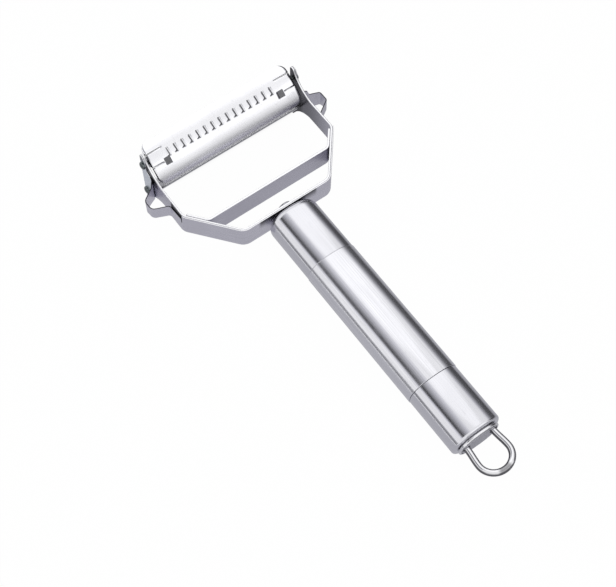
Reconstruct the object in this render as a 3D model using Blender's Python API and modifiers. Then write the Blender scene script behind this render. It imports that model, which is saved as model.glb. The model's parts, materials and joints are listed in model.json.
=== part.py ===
"""Double sided Y peeler, all stainless steel: strip frame, two swinging blades, oval handle.

The tool is worked out with the handle along Y, the head at +Y, the width along X and the
middle of the strips at Z = 0. One empty then lays the whole tool down on the plane Z = 0.
All lengths are in metres.
"""
import math

import bmesh
import bpy
from mathutils import Matrix, Vector

GAP = 0.0003                    # between pieces that touch
OVERLAP = 0.0005                # how far one solid reaches into another before they are joined
ARC_STEP = math.radians(15)     # longest step along a rounded corner

# Strip frame: a thin outer band, the arm strip that lines it and the crossbar strip inside
OVERALL_WIDTH = 0.0830
EYE_REMOVER_REACH = 0.00655
BAND_THICKNESS = 0.00045
ARM_THICKNESS = 0.0008
CROSSBAR_THICKNESS = 0.0009
STRIP_DEPTH = 0.0100
BASE_HALF_WIDTH = 0.0195
BASE_BEND_RADIUS = 0.0050
SHOULDER_HALF_WIDTH = OVERALL_WIDTH / 2 - EYE_REMOVER_REACH
SHOULDER_Y = 0.0186
SHOULDER_BEND_RADIUS = 0.0045
CROSSBAR_Y = 0.0116
CROSSBAR_BEND_RADIUS = 0.0030
FLANGE_END_Y = 0.0184

# Ears at the ends of the arms, which carry the pivots
EAR_START_Y = 0.0325
EAR_KNEE_Y = 0.0395
EAR_KNEE_Z = 0.0066
EAR_END_Y = 0.0456
EAR_HALF_HEIGHT = 0.0147
EAR_TIP_RADIUS = 0.0013
EAR_CURVE_STEPS = 8

# Eye removers: the outer band bows out beside each arm
LOOP_START_Y = 0.0269
LOOP_APEX_Y = 0.0337
LOOP_END_Y = 0.0387
LOOP_RADIUS = 0.0023
LOOP_FOOT_RADIUS = 0.0015
LOOP_FRONT_Z = 0.0012
BAND_CUT_Y = 0.0192

# End plates of the outer band, which back the ears
PLATE_START_Y = 0.0378
PLATE_KNEE_Y = 0.0381
PLATE_KNEE_Z = 0.0066

# Blades, measured from the pivot: Y across the blade, Z up to its crown
PIVOT_Y = 0.0438
PIVOT_Z = 0.0084
JULIENNE_TILT = math.radians(34)
PEELING_TILT = math.radians(44)
BLADE_SIDE_PLAY = 0.0014
BLADE_HALF_LENGTH = SHOULDER_HALF_WIDTH - BAND_THICKNESS - GAP - ARM_THICKNESS - BLADE_SIDE_PLAY
BLADE_NEAR_WIDTH = 0.0100
BLADE_FAR_WIDTH = 0.0070
BLADE_RISE = 0.0023
BLADE_THICKNESS = 0.0006
BLADE_CORNER_RADIUS = 0.0030
BLADE_ARC_STEPS = 14
SKIN_ABOVE_PIVOT = 0.0018
TONGUE_WIDTH = 0.0055
TONGUE_LENGTH = 0.0064
SLIT_WIDTH = 0.0005
FLANGE_HALF_WIDTH = 0.0021
HOLE_FROM_END = 0.0051
HOLE_WIDTH = 0.0024
HOLE_NEAR_Y = -0.0044
HOLE_FAR_Y = -0.0015
HOLE_TO_SLIT = 0.0004

# Slot of the peeling blade, with a ramp that passes below the cutting lip
SLOT_FROM_END = 0.0060
RAMP_FROM_SLOT_END = 0.0020
RAMP_FALL = 0.0014
RAMP_LAP = 0.0003

# Fingers of the julienne blade, each cut out as a J
FINGER_CUTS = 15
FINGER_ROW_FROM_LEFT_HOLE = 0.0001
FINGER_ROW_TO_RIGHT_HOLE = 0.0022
FINGER_CUT_WIDTH = 0.0004
FINGER_CUT_TOP_Y = 0.0016
FINGER_CUT_LENGTH = 0.0034
FINGER_FOOT_LENGTH = 0.0007
FINGER_FOOT_WIDTH = 0.0005

# Pivot pins
PIN_RADIUS = 0.0008
PIN_HEAD_RADIUS = 0.0015
PIN_HEAD_THICKNESS = 0.0009
PIN_INSIDE_BLADE = 0.0007
PIN_STEPS = 20

# Handle
HANDLE_HALF_WIDTH = 0.01015
HANDLE_HALF_HEIGHT = 0.0074
OVAL_POWER = 2.3
OVAL_POINTS = 48
HANDLE_WALL = 0.0008
GRIP_PROUD = 0.00025
HANDLE_FRONT_Y = -0.0006
FRONT_ROUNDING = 0.0026
SEAM_FRONT_Y = -0.0266
SEAM_REAR_Y = -0.0856
SEAM_CHAMFER = 0.0002
SPIGOT_LENGTH = 0.0080
HANDLE_REAR_Y = -0.1097
REAR_ROUNDING = 0.0013
RIM_WIDTH = 0.0010
ROUNDING_STEPS = 5

# Front plug and frame screw
PLUG_LENGTH = 0.0110
SCREW_RADIUS = 0.0020
SCREW_LENGTH = 0.0100
SCREW_HEAD_RADIUS = 0.0034
SCREW_HEAD_HEIGHT = 0.0014
SCREW_SLOT_WIDTH = 0.0009
SCREW_SLOT_DEPTH = 0.0006
SCREW_STEPS = 32

# Rear end and hanging loop
COLLAR_INSET = 0.0016
COLLAR_WIDTH = 0.0010
BEAD_STEPS = 6
END_PLUG_LENGTH = 0.0055
END_DISC_STEP = 0.0002
WIRE_RADIUS = 0.00125
WIRE_LEG_X = 0.00580
WIRE_BELLY_X = 0.00645
WIRE_BELLY_REACH = 0.0088
WIRE_REACH = 0.0147
WIRE_INSIDE = 0.0050
WIRE_LEVEL_Z = 0.0008
WIRE_STEPS = 9
WIRE_SIDES_LEVEL = 3

# A flat outline seen from the side (Y to the right, Z up), and one axis laid along Y
SIDE_VIEW = Matrix(((0, 0, 1, 0), (1, 0, 0, 0), (0, 1, 0, 0), (0, 0, 0, 1)))
AXIS_ALONG_Y = Matrix(((1, 0, 0, 0), (0, 0, -1, 0), (0, 1, 0, 0), (0, 0, 0, 1)))

HOLE_OUTER_X = BLADE_HALF_LENGTH - HOLE_FROM_END
HOLE_INNER_X = HOLE_OUTER_X - HOLE_WIDTH
SLOT_HALF_LENGTH = BLADE_HALF_LENGTH - SLOT_FROM_END
RAMP_HALF_LENGTH = SLOT_HALF_LENGTH - RAMP_FROM_SLOT_END
FINGER_ROW_START = FINGER_ROW_FROM_LEFT_HOLE - HOLE_INNER_X
FINGER_ROW_LENGTH = HOLE_INNER_X - FINGER_ROW_TO_RIGHT_HOLE - FINGER_ROW_START
FINGER_PITCH = FINGER_ROW_LENGTH / (FINGER_CUTS - 1)
WIRE_BELLY_Y = HANDLE_REAR_Y - WIRE_BELLY_REACH
WIRE_END_Y = HANDLE_REAR_Y - WIRE_REACH
ARM_LAYER = BAND_THICKNESS + GAP
CROSSBAR_LAYER = ARM_LAYER + ARM_THICKNESS + GAP
STRIP_HALF_DEPTH = STRIP_DEPTH / 2
REACH = OVERALL_WIDTH


def remove_all_objects():
    """Empty the scene."""
    for item in list(bpy.data.objects):
        bpy.data.objects.remove(item, do_unlink=True)


def new_collection(name):
    """Return a new collection in the scene."""
    group = bpy.data.collections.new(name)
    bpy.context.scene.collection.children.link(group)
    return group


def steel(name, colour, roughness):
    """Return a metal material."""
    finish = bpy.data.materials.new(name)
    finish.use_nodes = True
    shader = finish.node_tree.nodes["Principled BSDF"]
    shader.inputs["Base Color"].default_value = (*colour, 1.0)
    shader.inputs["Roughness"].default_value = roughness
    shader.inputs["Metallic"].default_value = 1.0
    finish.diffuse_color = (*colour, 1.0)
    return finish


def weld(mesh):
    """Join the loose vertices of a mesh and turn its faces outward."""
    work = bmesh.new()
    work.from_mesh(mesh)
    bmesh.ops.remove_doubles(work, verts=work.verts, dist=0.000001)
    bmesh.ops.recalc_face_normals(work, faces=work.faces)
    work.to_mesh(mesh)
    work.free()


def mesh_from_curve(curve_data, name):
    """Turn a curve into a closed mesh."""
    carrier = bpy.data.objects.new(name, curve_data)
    bpy.context.scene.collection.objects.link(carrier)
    bpy.context.view_layer.update()
    evaluated = carrier.evaluated_get(bpy.context.evaluated_depsgraph_get())
    mesh = bpy.data.meshes.new_from_object(evaluated)
    mesh.name = name
    bpy.data.objects.remove(carrier, do_unlink=True)
    weld(mesh)
    return mesh


def prism(name, outlines, half_depth, matrix=None, centre=0.0):
    """Return the mesh of flat outlines given thickness on both sides of their plane."""
    curve_data = bpy.data.curves.new(name, "CURVE")
    curve_data.dimensions = "2D"
    curve_data.fill_mode = "BOTH"
    curve_data.extrude = half_depth
    for outline in outlines:
        spline = curve_data.splines.new("POLY")
        spline.points.add(len(outline) - 1)
        for point, place in zip(spline.points, outline):
            point.co = (place[0], place[1], 0.0, 1.0)
        spline.use_cyclic_u = True
    mesh = mesh_from_curve(curve_data, name)
    mesh.transform(Matrix.Translation((0.0, 0.0, centre)))
    if matrix is not None:
        mesh.transform(matrix)
    return mesh


def cylinder(name, radius, length, centre, matrix):
    """Return the mesh of a round bar whose axis the matrix turns out of Z."""
    mesh = bpy.data.meshes.new(name)
    work = bmesh.new()
    bmesh.ops.create_cone(work, cap_ends=True, segments=PIN_STEPS, radius1=radius, radius2=radius,
                          depth=length)
    work.to_mesh(mesh)
    work.free()
    mesh.transform(Matrix.Translation(centre) @ matrix)
    return mesh


def add_piece(name, mesh, finish, group, root, place=(0, 0, 0), turn=(0, 0, 0)):
    """Put a mesh into the model as one piece."""
    piece = bpy.data.objects.new(name, mesh)
    group.objects.link(piece)
    piece.parent = root
    piece.location = place
    piece.rotation_euler = turn
    if not mesh.materials:
        mesh.materials.append(finish)
    return piece


def add_cutter(name, mesh, group, piece):
    """Put a mesh beside the model as a cutter that moves with its piece."""
    cutter = bpy.data.objects.new(name, mesh)
    group.objects.link(cutter)
    cutter.parent = piece.parent
    cutter.location = piece.location
    cutter.rotation_euler = piece.rotation_euler
    cutter.hide_render = True
    cutter.display_type = "WIRE"
    return cutter


def combine(piece, operation, name, mesh, group):
    """Cut, join or intersect a piece with a mesh given in the piece's own coordinates."""
    cutter = add_cutter(name, mesh, group, piece)
    step = piece.modifiers.new(name, "BOOLEAN")
    step.operation = operation
    step.solver = "EXACT"
    step.object = cutter


def smooth(piece, angle=math.radians(30)):
    """Shade the round faces of a piece smoothly and keep its edges sharp."""
    piece.data.shade_smooth()
    piece.data.set_sharp_from_angle(angle=angle)


def crossing(point_a, along_a, point_b, along_b):
    """Return where two flat lines cross."""
    bottom = along_a.x * along_b.y - along_a.y * along_b.x
    offset = point_b - point_a
    share = (offset.x * along_b.y - offset.y * along_b.x) / bottom
    return point_a + share * along_a


def left_of(direction):
    """Return the unit vector to the left of a flat direction."""
    return Vector((-direction.y, direction.x)).normalized()


def offset_path(corners, radii, distance):
    """Move a path of straight runs to its left, with the bend radii that keep the bends concentric."""
    runs = [(end - start).normalized() for start, end in zip(corners, corners[1:])]
    moved = [corners[0] + distance * left_of(runs[0])]
    new_radii = []
    for corner, before, after, radius in zip(corners[1:-1], runs, runs[1:], radii):
        side = distance * left_of(before)
        other_side = distance * left_of(after)
        moved.append(crossing(corner + side, before, corner + other_side, after))
        turns_left = before.x * after.y - before.y * after.x > 0
        new_radii.append(radius - distance if turns_left else radius + distance)
    moved.append(corners[-1] + distance * left_of(runs[-1]))
    return moved, new_radii


def rounded_path(corners, radii):
    """Return the points of a path of straight runs with an arc at each inner corner."""
    points = [corners[0]]
    for before, corner, after, radius in zip(corners, corners[1:], corners[2:], radii):
        arriving = (corner - before).normalized()
        leaving = (after - corner).normalized()
        turn = math.acos(max(-1.0, min(1.0, arriving.dot(leaving))))
        sign = 1.0 if arriving.x * leaving.y - arriving.y * leaving.x > 0 else -1.0
        start = corner - arriving * radius * math.tan(turn / 2)
        centre = start + sign * radius * left_of(arriving)
        steps = max(2, math.ceil(turn / ARC_STEP))
        for index in range(steps + 1):
            swing = Matrix.Rotation(sign * turn * index / steps, 2)
            points.append(centre + swing @ (start - centre))
    points.append(corners[-1])
    return points


def bent_strip(corners, radii, thickness):
    """Return the outline of a strip seen on edge: the path is its right face."""
    inner_corners, inner_radii = offset_path(corners, radii, thickness)
    outer = rounded_path(corners, radii)
    inner = rounded_path(inner_corners, inner_radii)
    return outer + inner[::-1]


def both_sides(right_corners, right_radii):
    """Mirror a path that starts on the middle plane, so that it runs from the left end to the right."""
    left_corners = [Vector((-corner.x, corner.y)) for corner in right_corners[:0:-1]]
    return left_corners + right_corners[1:], right_radii[::-1] + right_radii


def tangent_point(start, centre, radius, side):
    """Return where the line from a point touches a circle; side is 1 or -1."""
    offset = centre - start
    distance = offset.length
    angle = side * math.asin(radius / distance)
    reach = math.sqrt(distance * distance - radius * radius)
    return start + reach * (Matrix.Rotation(angle, 2) @ offset.normalized())


def quadratic_curve(start, control, end, steps):
    """Return the points of a curve that leaves and arrives along the lines to its control point."""
    points = []
    for index in range(steps + 1):
        share = index / steps
        points.append((1 - share) ** 2 * start + 2 * share * (1 - share) * control + share ** 2 * end)
    return points


def flared_edge(start, knee, tip_centre, radius):
    """Return one edge of an ear: it curves outward and ends in a round tip at the far edge."""
    touch = tangent_point(knee, tip_centre, radius, 1)
    points = quadratic_curve(start, knee, touch, EAR_CURVE_STEPS)
    first = math.atan2(touch.y - tip_centre.y, touch.x - tip_centre.x)
    steps = max(2, math.ceil(first / ARC_STEP))
    for index in range(1, steps + 1):
        angle = first * (1 - index / steps)
        points.append(tip_centre + radius * Vector((math.cos(angle), math.sin(angle))))
    return points


def rear_ear_edge():
    """Return the edge of the ear on the rear side, from its far end back to the arm."""
    tip_centre = Vector((EAR_END_Y - EAR_TIP_RADIUS, EAR_HALF_HEIGHT - EAR_TIP_RADIUS))
    start = Vector((EAR_START_Y, STRIP_HALF_DEPTH))
    edge = flared_edge(start, Vector((EAR_KNEE_Y, EAR_KNEE_Z)), tip_centre, EAR_TIP_RADIUS)
    return [Vector((point.x, -point.y)) for point in reversed(edge)]


def arm_side_outline():
    """Return the arm strip seen from the side."""
    front = [Vector((point.x, -point.y)) for point in reversed(rear_ear_edge())]
    start = [Vector((-REACH, -STRIP_HALF_DEPTH)), Vector((-REACH, STRIP_HALF_DEPTH))]
    return start + front + rear_ear_edge()


def band_side_outline():
    """Return the outer band seen from the side: its front is cut away beyond the shoulder."""
    tip_centre = Vector((EAR_END_Y - EAR_TIP_RADIUS, EAR_HALF_HEIGHT - EAR_TIP_RADIUS))
    start = [
        Vector((-REACH, -STRIP_HALF_DEPTH)),
        Vector((-REACH, STRIP_HALF_DEPTH)),
        Vector((BAND_CUT_Y, STRIP_HALF_DEPTH)),
        Vector((BAND_CUT_Y, LOOP_FRONT_Z)),
    ]
    knee = Vector((PLATE_KNEE_Y, PLATE_KNEE_Z))
    front = flared_edge(Vector((PLATE_START_Y, LOOP_FRONT_Z)), knee, tip_centre, EAR_TIP_RADIUS)
    return start + front + rear_ear_edge()


def slant_direction():
    """Return the direction of the right slant of the frame."""
    return Vector((SHOULDER_HALF_WIDTH - BASE_HALF_WIDTH, SHOULDER_Y)).normalized()


def band_path():
    """Return the outer face of the outer band, seen from the front."""
    foot = Vector((SHOULDER_HALF_WIDTH, LOOP_START_Y))
    end = Vector((SHOULDER_HALF_WIDTH, LOOP_END_Y))
    centre = Vector((OVERALL_WIDTH / 2 - LOOP_RADIUS, LOOP_APEX_Y))
    rising = tangent_point(foot, centre, LOOP_RADIUS, -1)
    falling = tangent_point(end, centre, LOOP_RADIUS, 1)
    apex = crossing(foot, rising - foot, end, falling - end)
    corners = [
        Vector((0.0, 0.0)),
        Vector((BASE_HALF_WIDTH, 0.0)),
        Vector((SHOULDER_HALF_WIDTH, SHOULDER_Y)),
        foot,
        apex,
        end,
        Vector((SHOULDER_HALF_WIDTH, EAR_END_Y + OVERLAP)),
    ]
    radii = [BASE_BEND_RADIUS, SHOULDER_BEND_RADIUS, LOOP_FOOT_RADIUS, LOOP_RADIUS, LOOP_FOOT_RADIUS]
    return both_sides(corners, radii)


def arm_path():
    """Return the outer face of the arm strip, seen from the front: it lines the outer band."""
    corners = [
        Vector((0.0, 0.0)),
        Vector((BASE_HALF_WIDTH, 0.0)),
        Vector((SHOULDER_HALF_WIDTH, SHOULDER_Y)),
        Vector((SHOULDER_HALF_WIDTH, EAR_END_Y + OVERLAP)),
    ]
    corners, radii = offset_path(corners, [BASE_BEND_RADIUS, SHOULDER_BEND_RADIUS], ARM_LAYER)
    return both_sides(corners, radii)


def crossbar_path():
    """Return the outer face of the crossbar strip, seen from the front: its flanges line the slants."""
    slant = slant_direction()
    slant_start = Vector((BASE_HALF_WIDTH, 0.0)) + CROSSBAR_LAYER * left_of(slant)
    across = Vector((1.0, 0.0))
    corners = [
        Vector((0.0, CROSSBAR_Y)),
        crossing(Vector((0.0, CROSSBAR_Y)), across, slant_start, slant),
        crossing(Vector((0.0, FLANGE_END_Y)), across, slant_start, slant),
    ]
    return both_sides(corners, [CROSSBAR_BEND_RADIUS])


def joined(name, meshes):
    """Return one mesh that holds several separate ones."""
    work = bmesh.new()
    for mesh in meshes:
        work.from_mesh(mesh)
        bpy.data.meshes.remove(mesh)
    result = bpy.data.meshes.new(name)
    work.to_mesh(result)
    work.free()
    return result


def pivot_holes(name):
    """Return the bars that cut the pivot holes through both ears."""
    bars = []
    for side in (-1, 1):
        bars.append(cylinder(name, PIN_RADIUS + GAP, 2 * REACH, (0.0, PIVOT_Y, side * PIVOT_Z), SIDE_VIEW))
    return joined(name, bars)


def frame_screw_hole(name):
    """Return the bar that cuts the screw's hole through a strip at the base."""
    return cylinder(name, SCREW_RADIUS + GAP, STRIP_DEPTH, (0, 0, 0), AXIS_ALONG_Y)


def build_frame(parts, cutters, root):
    """Build the three bent strips."""
    satin = steel("frame_satin_steel", (0.70, 0.70, 0.75), 0.28)
    corners, radii = band_path()
    outline = bent_strip(corners, radii, BAND_THICKNESS)
    band = add_piece("outer_frame_band", prism("outer_frame_band", [outline], REACH), satin, parts, root)
    profile = prism("band_side_profile", [band_side_outline()], REACH, SIDE_VIEW)
    combine(band, "INTERSECT", "band_side_profile", profile, cutters)
    combine(band, "DIFFERENCE", "band_screw_hole", frame_screw_hole("band_screw_hole"), cutters)
    combine(band, "DIFFERENCE", "band_pivot_holes", pivot_holes("band_pivot_holes"), cutters)

    corners, radii = arm_path()
    outline = bent_strip(corners, radii, ARM_THICKNESS)
    arms = add_piece("arm_strip", prism("arm_strip", [outline], REACH), satin, parts, root)
    profile = prism("arm_side_profile", [arm_side_outline()], REACH, SIDE_VIEW)
    combine(arms, "INTERSECT", "arm_side_profile", profile, cutters)
    combine(arms, "DIFFERENCE", "arm_screw_hole", frame_screw_hole("arm_screw_hole"), cutters)
    combine(arms, "DIFFERENCE", "arm_pivot_holes", pivot_holes("arm_pivot_holes"), cutters)

    corners, radii = crossbar_path()
    outline = bent_strip(corners, radii, CROSSBAR_THICKNESS)
    add_piece("crossbar_strip", prism("crossbar_strip", [outline], STRIP_HALF_DEPTH), satin, parts, root)


def blade_skin(across):
    """Return the height of the blade's outer face above the pivot at a place across the blade."""
    half_chord = (BLADE_NEAR_WIDTH + BLADE_FAR_WIDTH) / 2
    middle = (BLADE_FAR_WIDTH - BLADE_NEAR_WIDTH) / 2
    radius = (half_chord ** 2 + BLADE_RISE ** 2) / (2 * BLADE_RISE)
    height = math.sqrt(radius ** 2 - (across - middle) ** 2)
    height_at_pivot = math.sqrt(radius ** 2 - middle ** 2)
    return height - height_at_pivot + SKIN_ABOVE_PIVOT


def blade_section(first, last, depth, steps):
    """Return points along the blade's arch, a given depth below its outer face."""
    points = []
    for index in range(steps + 1):
        across = first + (last - first) * index / steps
        points.append(Vector((across, blade_skin(across) - depth)))
    return points


def blade_plate():
    """Return the arched plate of a blade before it is cut."""
    outer = blade_section(-BLADE_NEAR_WIDTH, BLADE_FAR_WIDTH, 0.0, BLADE_ARC_STEPS)
    inner = blade_section(-BLADE_NEAR_WIDTH, BLADE_FAR_WIDTH, BLADE_THICKNESS, BLADE_ARC_STEPS)
    return prism("blade_plate", [outer + inner[::-1]], BLADE_HALF_LENGTH, SIDE_VIEW)


def rectangle(low_x, low_y, high_x, high_y):
    """Return the four corners of a rectangle."""
    return [
        Vector((low_x, low_y)),
        Vector((high_x, low_y)),
        Vector((high_x, high_y)),
        Vector((low_x, high_y)),
    ]


def blade_plan():
    """Return the blade seen from above, with rounded corners."""
    half = BLADE_HALF_LENGTH + OVERLAP
    far = BLADE_FAR_WIDTH
    near = -BLADE_NEAR_WIDTH
    half_plan = [
        Vector((0.0, near)),
        Vector((BLADE_HALF_LENGTH, near)),
        Vector((BLADE_HALF_LENGTH, far)),
        Vector((0.0, far)),
    ]
    right = rounded_path(half_plan, [BLADE_CORNER_RADIUS, BLADE_CORNER_RADIUS])[1:-1]
    for point in right:
        if point.x > BLADE_HALF_LENGTH - GAP / 10:
            point.x = half
    left = [Vector((-point.x, point.y)) for point in reversed(right)]
    return right + left


def slit_outlines():
    """Return the slits that free the two end tongues of a blade."""
    end = BLADE_HALF_LENGTH + 2 * OVERLAP
    starts = {-1: HOLE_OUTER_X + HOLE_TO_SLIT, 1: BLADE_HALF_LENGTH - TONGUE_LENGTH}
    outlines = []
    for side in (-1, 1):
        for level, start in starts.items():
            low_x, high_x = sorted((side * start, side * end))
            middle = level * TONGUE_WIDTH / 2
            outlines.append(rectangle(low_x, middle - SLIT_WIDTH / 2, high_x, middle + SLIT_WIDTH / 2))
    return outlines


def relief_hole_outlines():
    """Return the two square holes at the ends of the row of fingers."""
    return [
        rectangle(-HOLE_OUTER_X, HOLE_NEAR_Y, -HOLE_INNER_X, HOLE_FAR_Y),
        rectangle(HOLE_INNER_X, HOLE_NEAR_Y, HOLE_OUTER_X, HOLE_FAR_Y),
    ]


def finger_outlines():
    """Return the cuts around the fingers, each with a short foot to the left."""
    outlines = []
    bottom = FINGER_CUT_TOP_Y - FINGER_CUT_LENGTH
    foot_top = bottom + FINGER_FOOT_WIDTH
    for index in range(FINGER_CUTS):
        left = FINGER_ROW_START + index * FINGER_PITCH
        right = left + FINGER_CUT_WIDTH
        outlines.append([
            Vector((left - FINGER_FOOT_LENGTH, bottom)),
            Vector((right, bottom)),
            Vector((right, FINGER_CUT_TOP_Y)),
            Vector((left, FINGER_CUT_TOP_Y)),
            Vector((left, foot_top)),
            Vector((left - FINGER_FOOT_LENGTH, foot_top)),
        ])
    return outlines


def ramp_mesh(name):
    """Return the ramp that leads from the near part down below the lip at the slot."""
    start = HOLE_NEAR_Y - OVERLAP
    end = HOLE_FAR_Y + RAMP_LAP
    top = []
    for index in range(BLADE_ARC_STEPS + 1):
        share = index / BLADE_ARC_STEPS
        across = start + (end - start) * share
        fall = RAMP_FALL * share * share * (3 - 2 * share)
        top.append(Vector((across, blade_skin(across) - GAP / 6 - fall)))
    bottom = [Vector((point.x, point.y - BLADE_THICKNESS + GAP / 3)) for point in reversed(top)]
    return prism(name, [top + bottom], RAMP_HALF_LENGTH, SIDE_VIEW)


def flange_meshes(name):
    """Return the lugs that are bent down at the ends of the tongues and take the pivot pins."""
    outline = blade_section(-FLANGE_HALF_WIDTH, FLANGE_HALF_WIDTH, BLADE_THICKNESS / 2, 4)
    for index in range(PIN_STEPS // 2 + 1):
        angle = -math.pi * index / (PIN_STEPS // 2)
        outline.append(FLANGE_HALF_WIDTH * Vector((math.cos(angle), math.sin(angle))))
    middle = BLADE_HALF_LENGTH - BLADE_THICKNESS / 2
    lugs = [prism(name, [outline], BLADE_THICKNESS / 2, SIDE_VIEW, side * middle) for side in (-1, 1)]
    return joined(name, lugs)


def flange_holes(name):
    """Return the bars that cut the pivot holes through the two lugs of a blade."""
    bars = []
    for side in (-1, 1):
        place = (side * BLADE_HALF_LENGTH, 0, 0)
        bars.append(cylinder(name, PIN_RADIUS + GAP, 4 * BLADE_THICKNESS, place, SIDE_VIEW))
    return joined(name, bars)


def build_blade(name, finish, place, turn, with_fingers, parts, cutters, root):
    """Build one swinging blade around its pivot: with fingers for strips, or with a peeling slot."""
    blade = add_piece(name, blade_plate(), finish, parts, root, place, turn)
    plan = prism(name + "_plan", [blade_plan()], BLADE_NEAR_WIDTH)
    combine(blade, "INTERSECT", name + "_plan", plan, cutters)
    slits = prism(name + "_slits", slit_outlines(), BLADE_NEAR_WIDTH)
    combine(blade, "DIFFERENCE", name + "_slits", slits, cutters)
    if with_fingers:
        holes = prism(name + "_relief_holes", relief_hole_outlines(), BLADE_NEAR_WIDTH)
        combine(blade, "DIFFERENCE", name + "_relief_holes", holes, cutters)
        cuts = prism(name + "_finger_cuts", finger_outlines(), BLADE_NEAR_WIDTH)
        combine(blade, "DIFFERENCE", name + "_finger_cuts", cuts, cutters)
    else:
        slot_outline = rectangle(-SLOT_HALF_LENGTH, HOLE_NEAR_Y, SLOT_HALF_LENGTH, HOLE_FAR_Y)
        slot = prism(name + "_slot", [slot_outline], BLADE_NEAR_WIDTH)
        combine(blade, "DIFFERENCE", name + "_slot", slot, cutters)
        combine(blade, "UNION", name + "_ramp", ramp_mesh(name + "_ramp"), cutters)
    combine(blade, "UNION", name + "_lugs", flange_meshes(name + "_lugs"), cutters)
    combine(blade, "DIFFERENCE", name + "_lug_holes", flange_holes(name + "_lug_holes"), cutters)
    return blade


def turned(name, profile, steps, finish, group, root, place, turn):
    """Build a turned piece from the profile of its right side, top to bottom, about its own Z."""
    mesh = bpy.data.meshes.new(name)
    edges = [(index, index + 1) for index in range(len(profile) - 1)]
    mesh.from_pydata([(across, 0.0, height) for across, height in profile], edges, [])
    piece = add_piece(name, mesh, finish, group, root, place, turn)
    spin = piece.modifiers.new("turning", "SCREW")
    spin.steps = steps
    spin.render_steps = steps
    spin.use_merge_vertices = True
    spin.merge_threshold = 0.00001
    spin.use_smooth_shade = True
    return piece


def domed_pin_profile(head_radius, head_height, radius, length):
    """Return the profile of a pin with a domed head whose flat side is at height zero."""
    profile = []
    steps = 4
    for index in range(steps + 1):
        angle = math.pi / 2 * index / steps
        height = head_height * (0.4 + 0.6 * math.cos(angle))
        profile.append((head_radius * math.sin(angle), height))
    profile.append((head_radius, 0.0))
    profile.append((radius, 0.0))
    profile.append((radius, -length))
    profile.append((0.0, -length))
    return profile


def build_pins(parts, root):
    """Build the four pivot pins, heads outside the ears."""
    bright = steel("pin_bright_steel", (0.78, 0.78, 0.80), 0.18)
    head_x = SHOULDER_HALF_WIDTH + GAP
    length = head_x - BLADE_HALF_LENGTH + BLADE_THICKNESS + PIN_INSIDE_BLADE
    profile = domed_pin_profile(PIN_HEAD_RADIUS, PIN_HEAD_THICKNESS, PIN_RADIUS, length)
    for blade, level in (("julienne", 1), ("peeling", -1)):
        for word, side in (("left", -1), ("right", 1)):
            name = blade + "_pivot_pin_" + word
            place = (side * head_x, PIVOT_Y, level * PIVOT_Z)
            turned(name, profile, PIN_STEPS, bright, parts, root, place, (0.0, side * math.pi / 2, 0.0))


def oval_ring(inset, y):
    """Return one ring of points around the handle's oval section."""
    half_width = HANDLE_HALF_WIDTH - inset
    half_height = HANDLE_HALF_HEIGHT - inset
    ring = []
    for index in range(OVAL_POINTS):
        angle = 2 * math.pi * index / OVAL_POINTS
        cosine = math.cos(angle)
        sine = math.sin(angle)
        x = half_width * math.copysign(abs(cosine) ** (2 / OVAL_POWER), cosine)
        z = half_height * math.copysign(abs(sine) ** (2 / OVAL_POWER), sine)
        ring.append((x, y, z))
    return ring


def oval_loft(name, stations, hollow):
    """Return a mesh through oval rings given as (inset, y); a hollow one closes on its first ring."""
    vertices = []
    for inset, y in stations:
        vertices.extend(oval_ring(inset, y))
    faces = []
    count = len(stations)
    bands = count if hollow else count - 1
    for band in range(bands):
        first = band * OVAL_POINTS
        second = (band + 1) % count * OVAL_POINTS
        for index in range(OVAL_POINTS):
            following = (index + 1) % OVAL_POINTS
            faces.append((first + index, first + following, second + following, second + index))
    if not hollow:
        faces.append(tuple(range(OVAL_POINTS)))
        faces.append(tuple(range((count - 1) * OVAL_POINTS, count * OVAL_POINTS)))
    mesh = bpy.data.meshes.new(name)
    mesh.from_pydata(vertices, [], faces)
    weld(mesh)
    return mesh


def rounding(end_y, radius, toward_rear):
    """Return the stations of a rounded end, from the flat end to the full section."""
    direction = -1 if toward_rear else 1
    stations = []
    for index in range(ROUNDING_STEPS + 1):
        angle = math.pi / 2 * index / ROUNDING_STEPS
        inset = radius * (1 - math.sin(angle))
        stations.append((inset, end_y + direction * radius * (1 - math.cos(angle))))
    return stations


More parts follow.
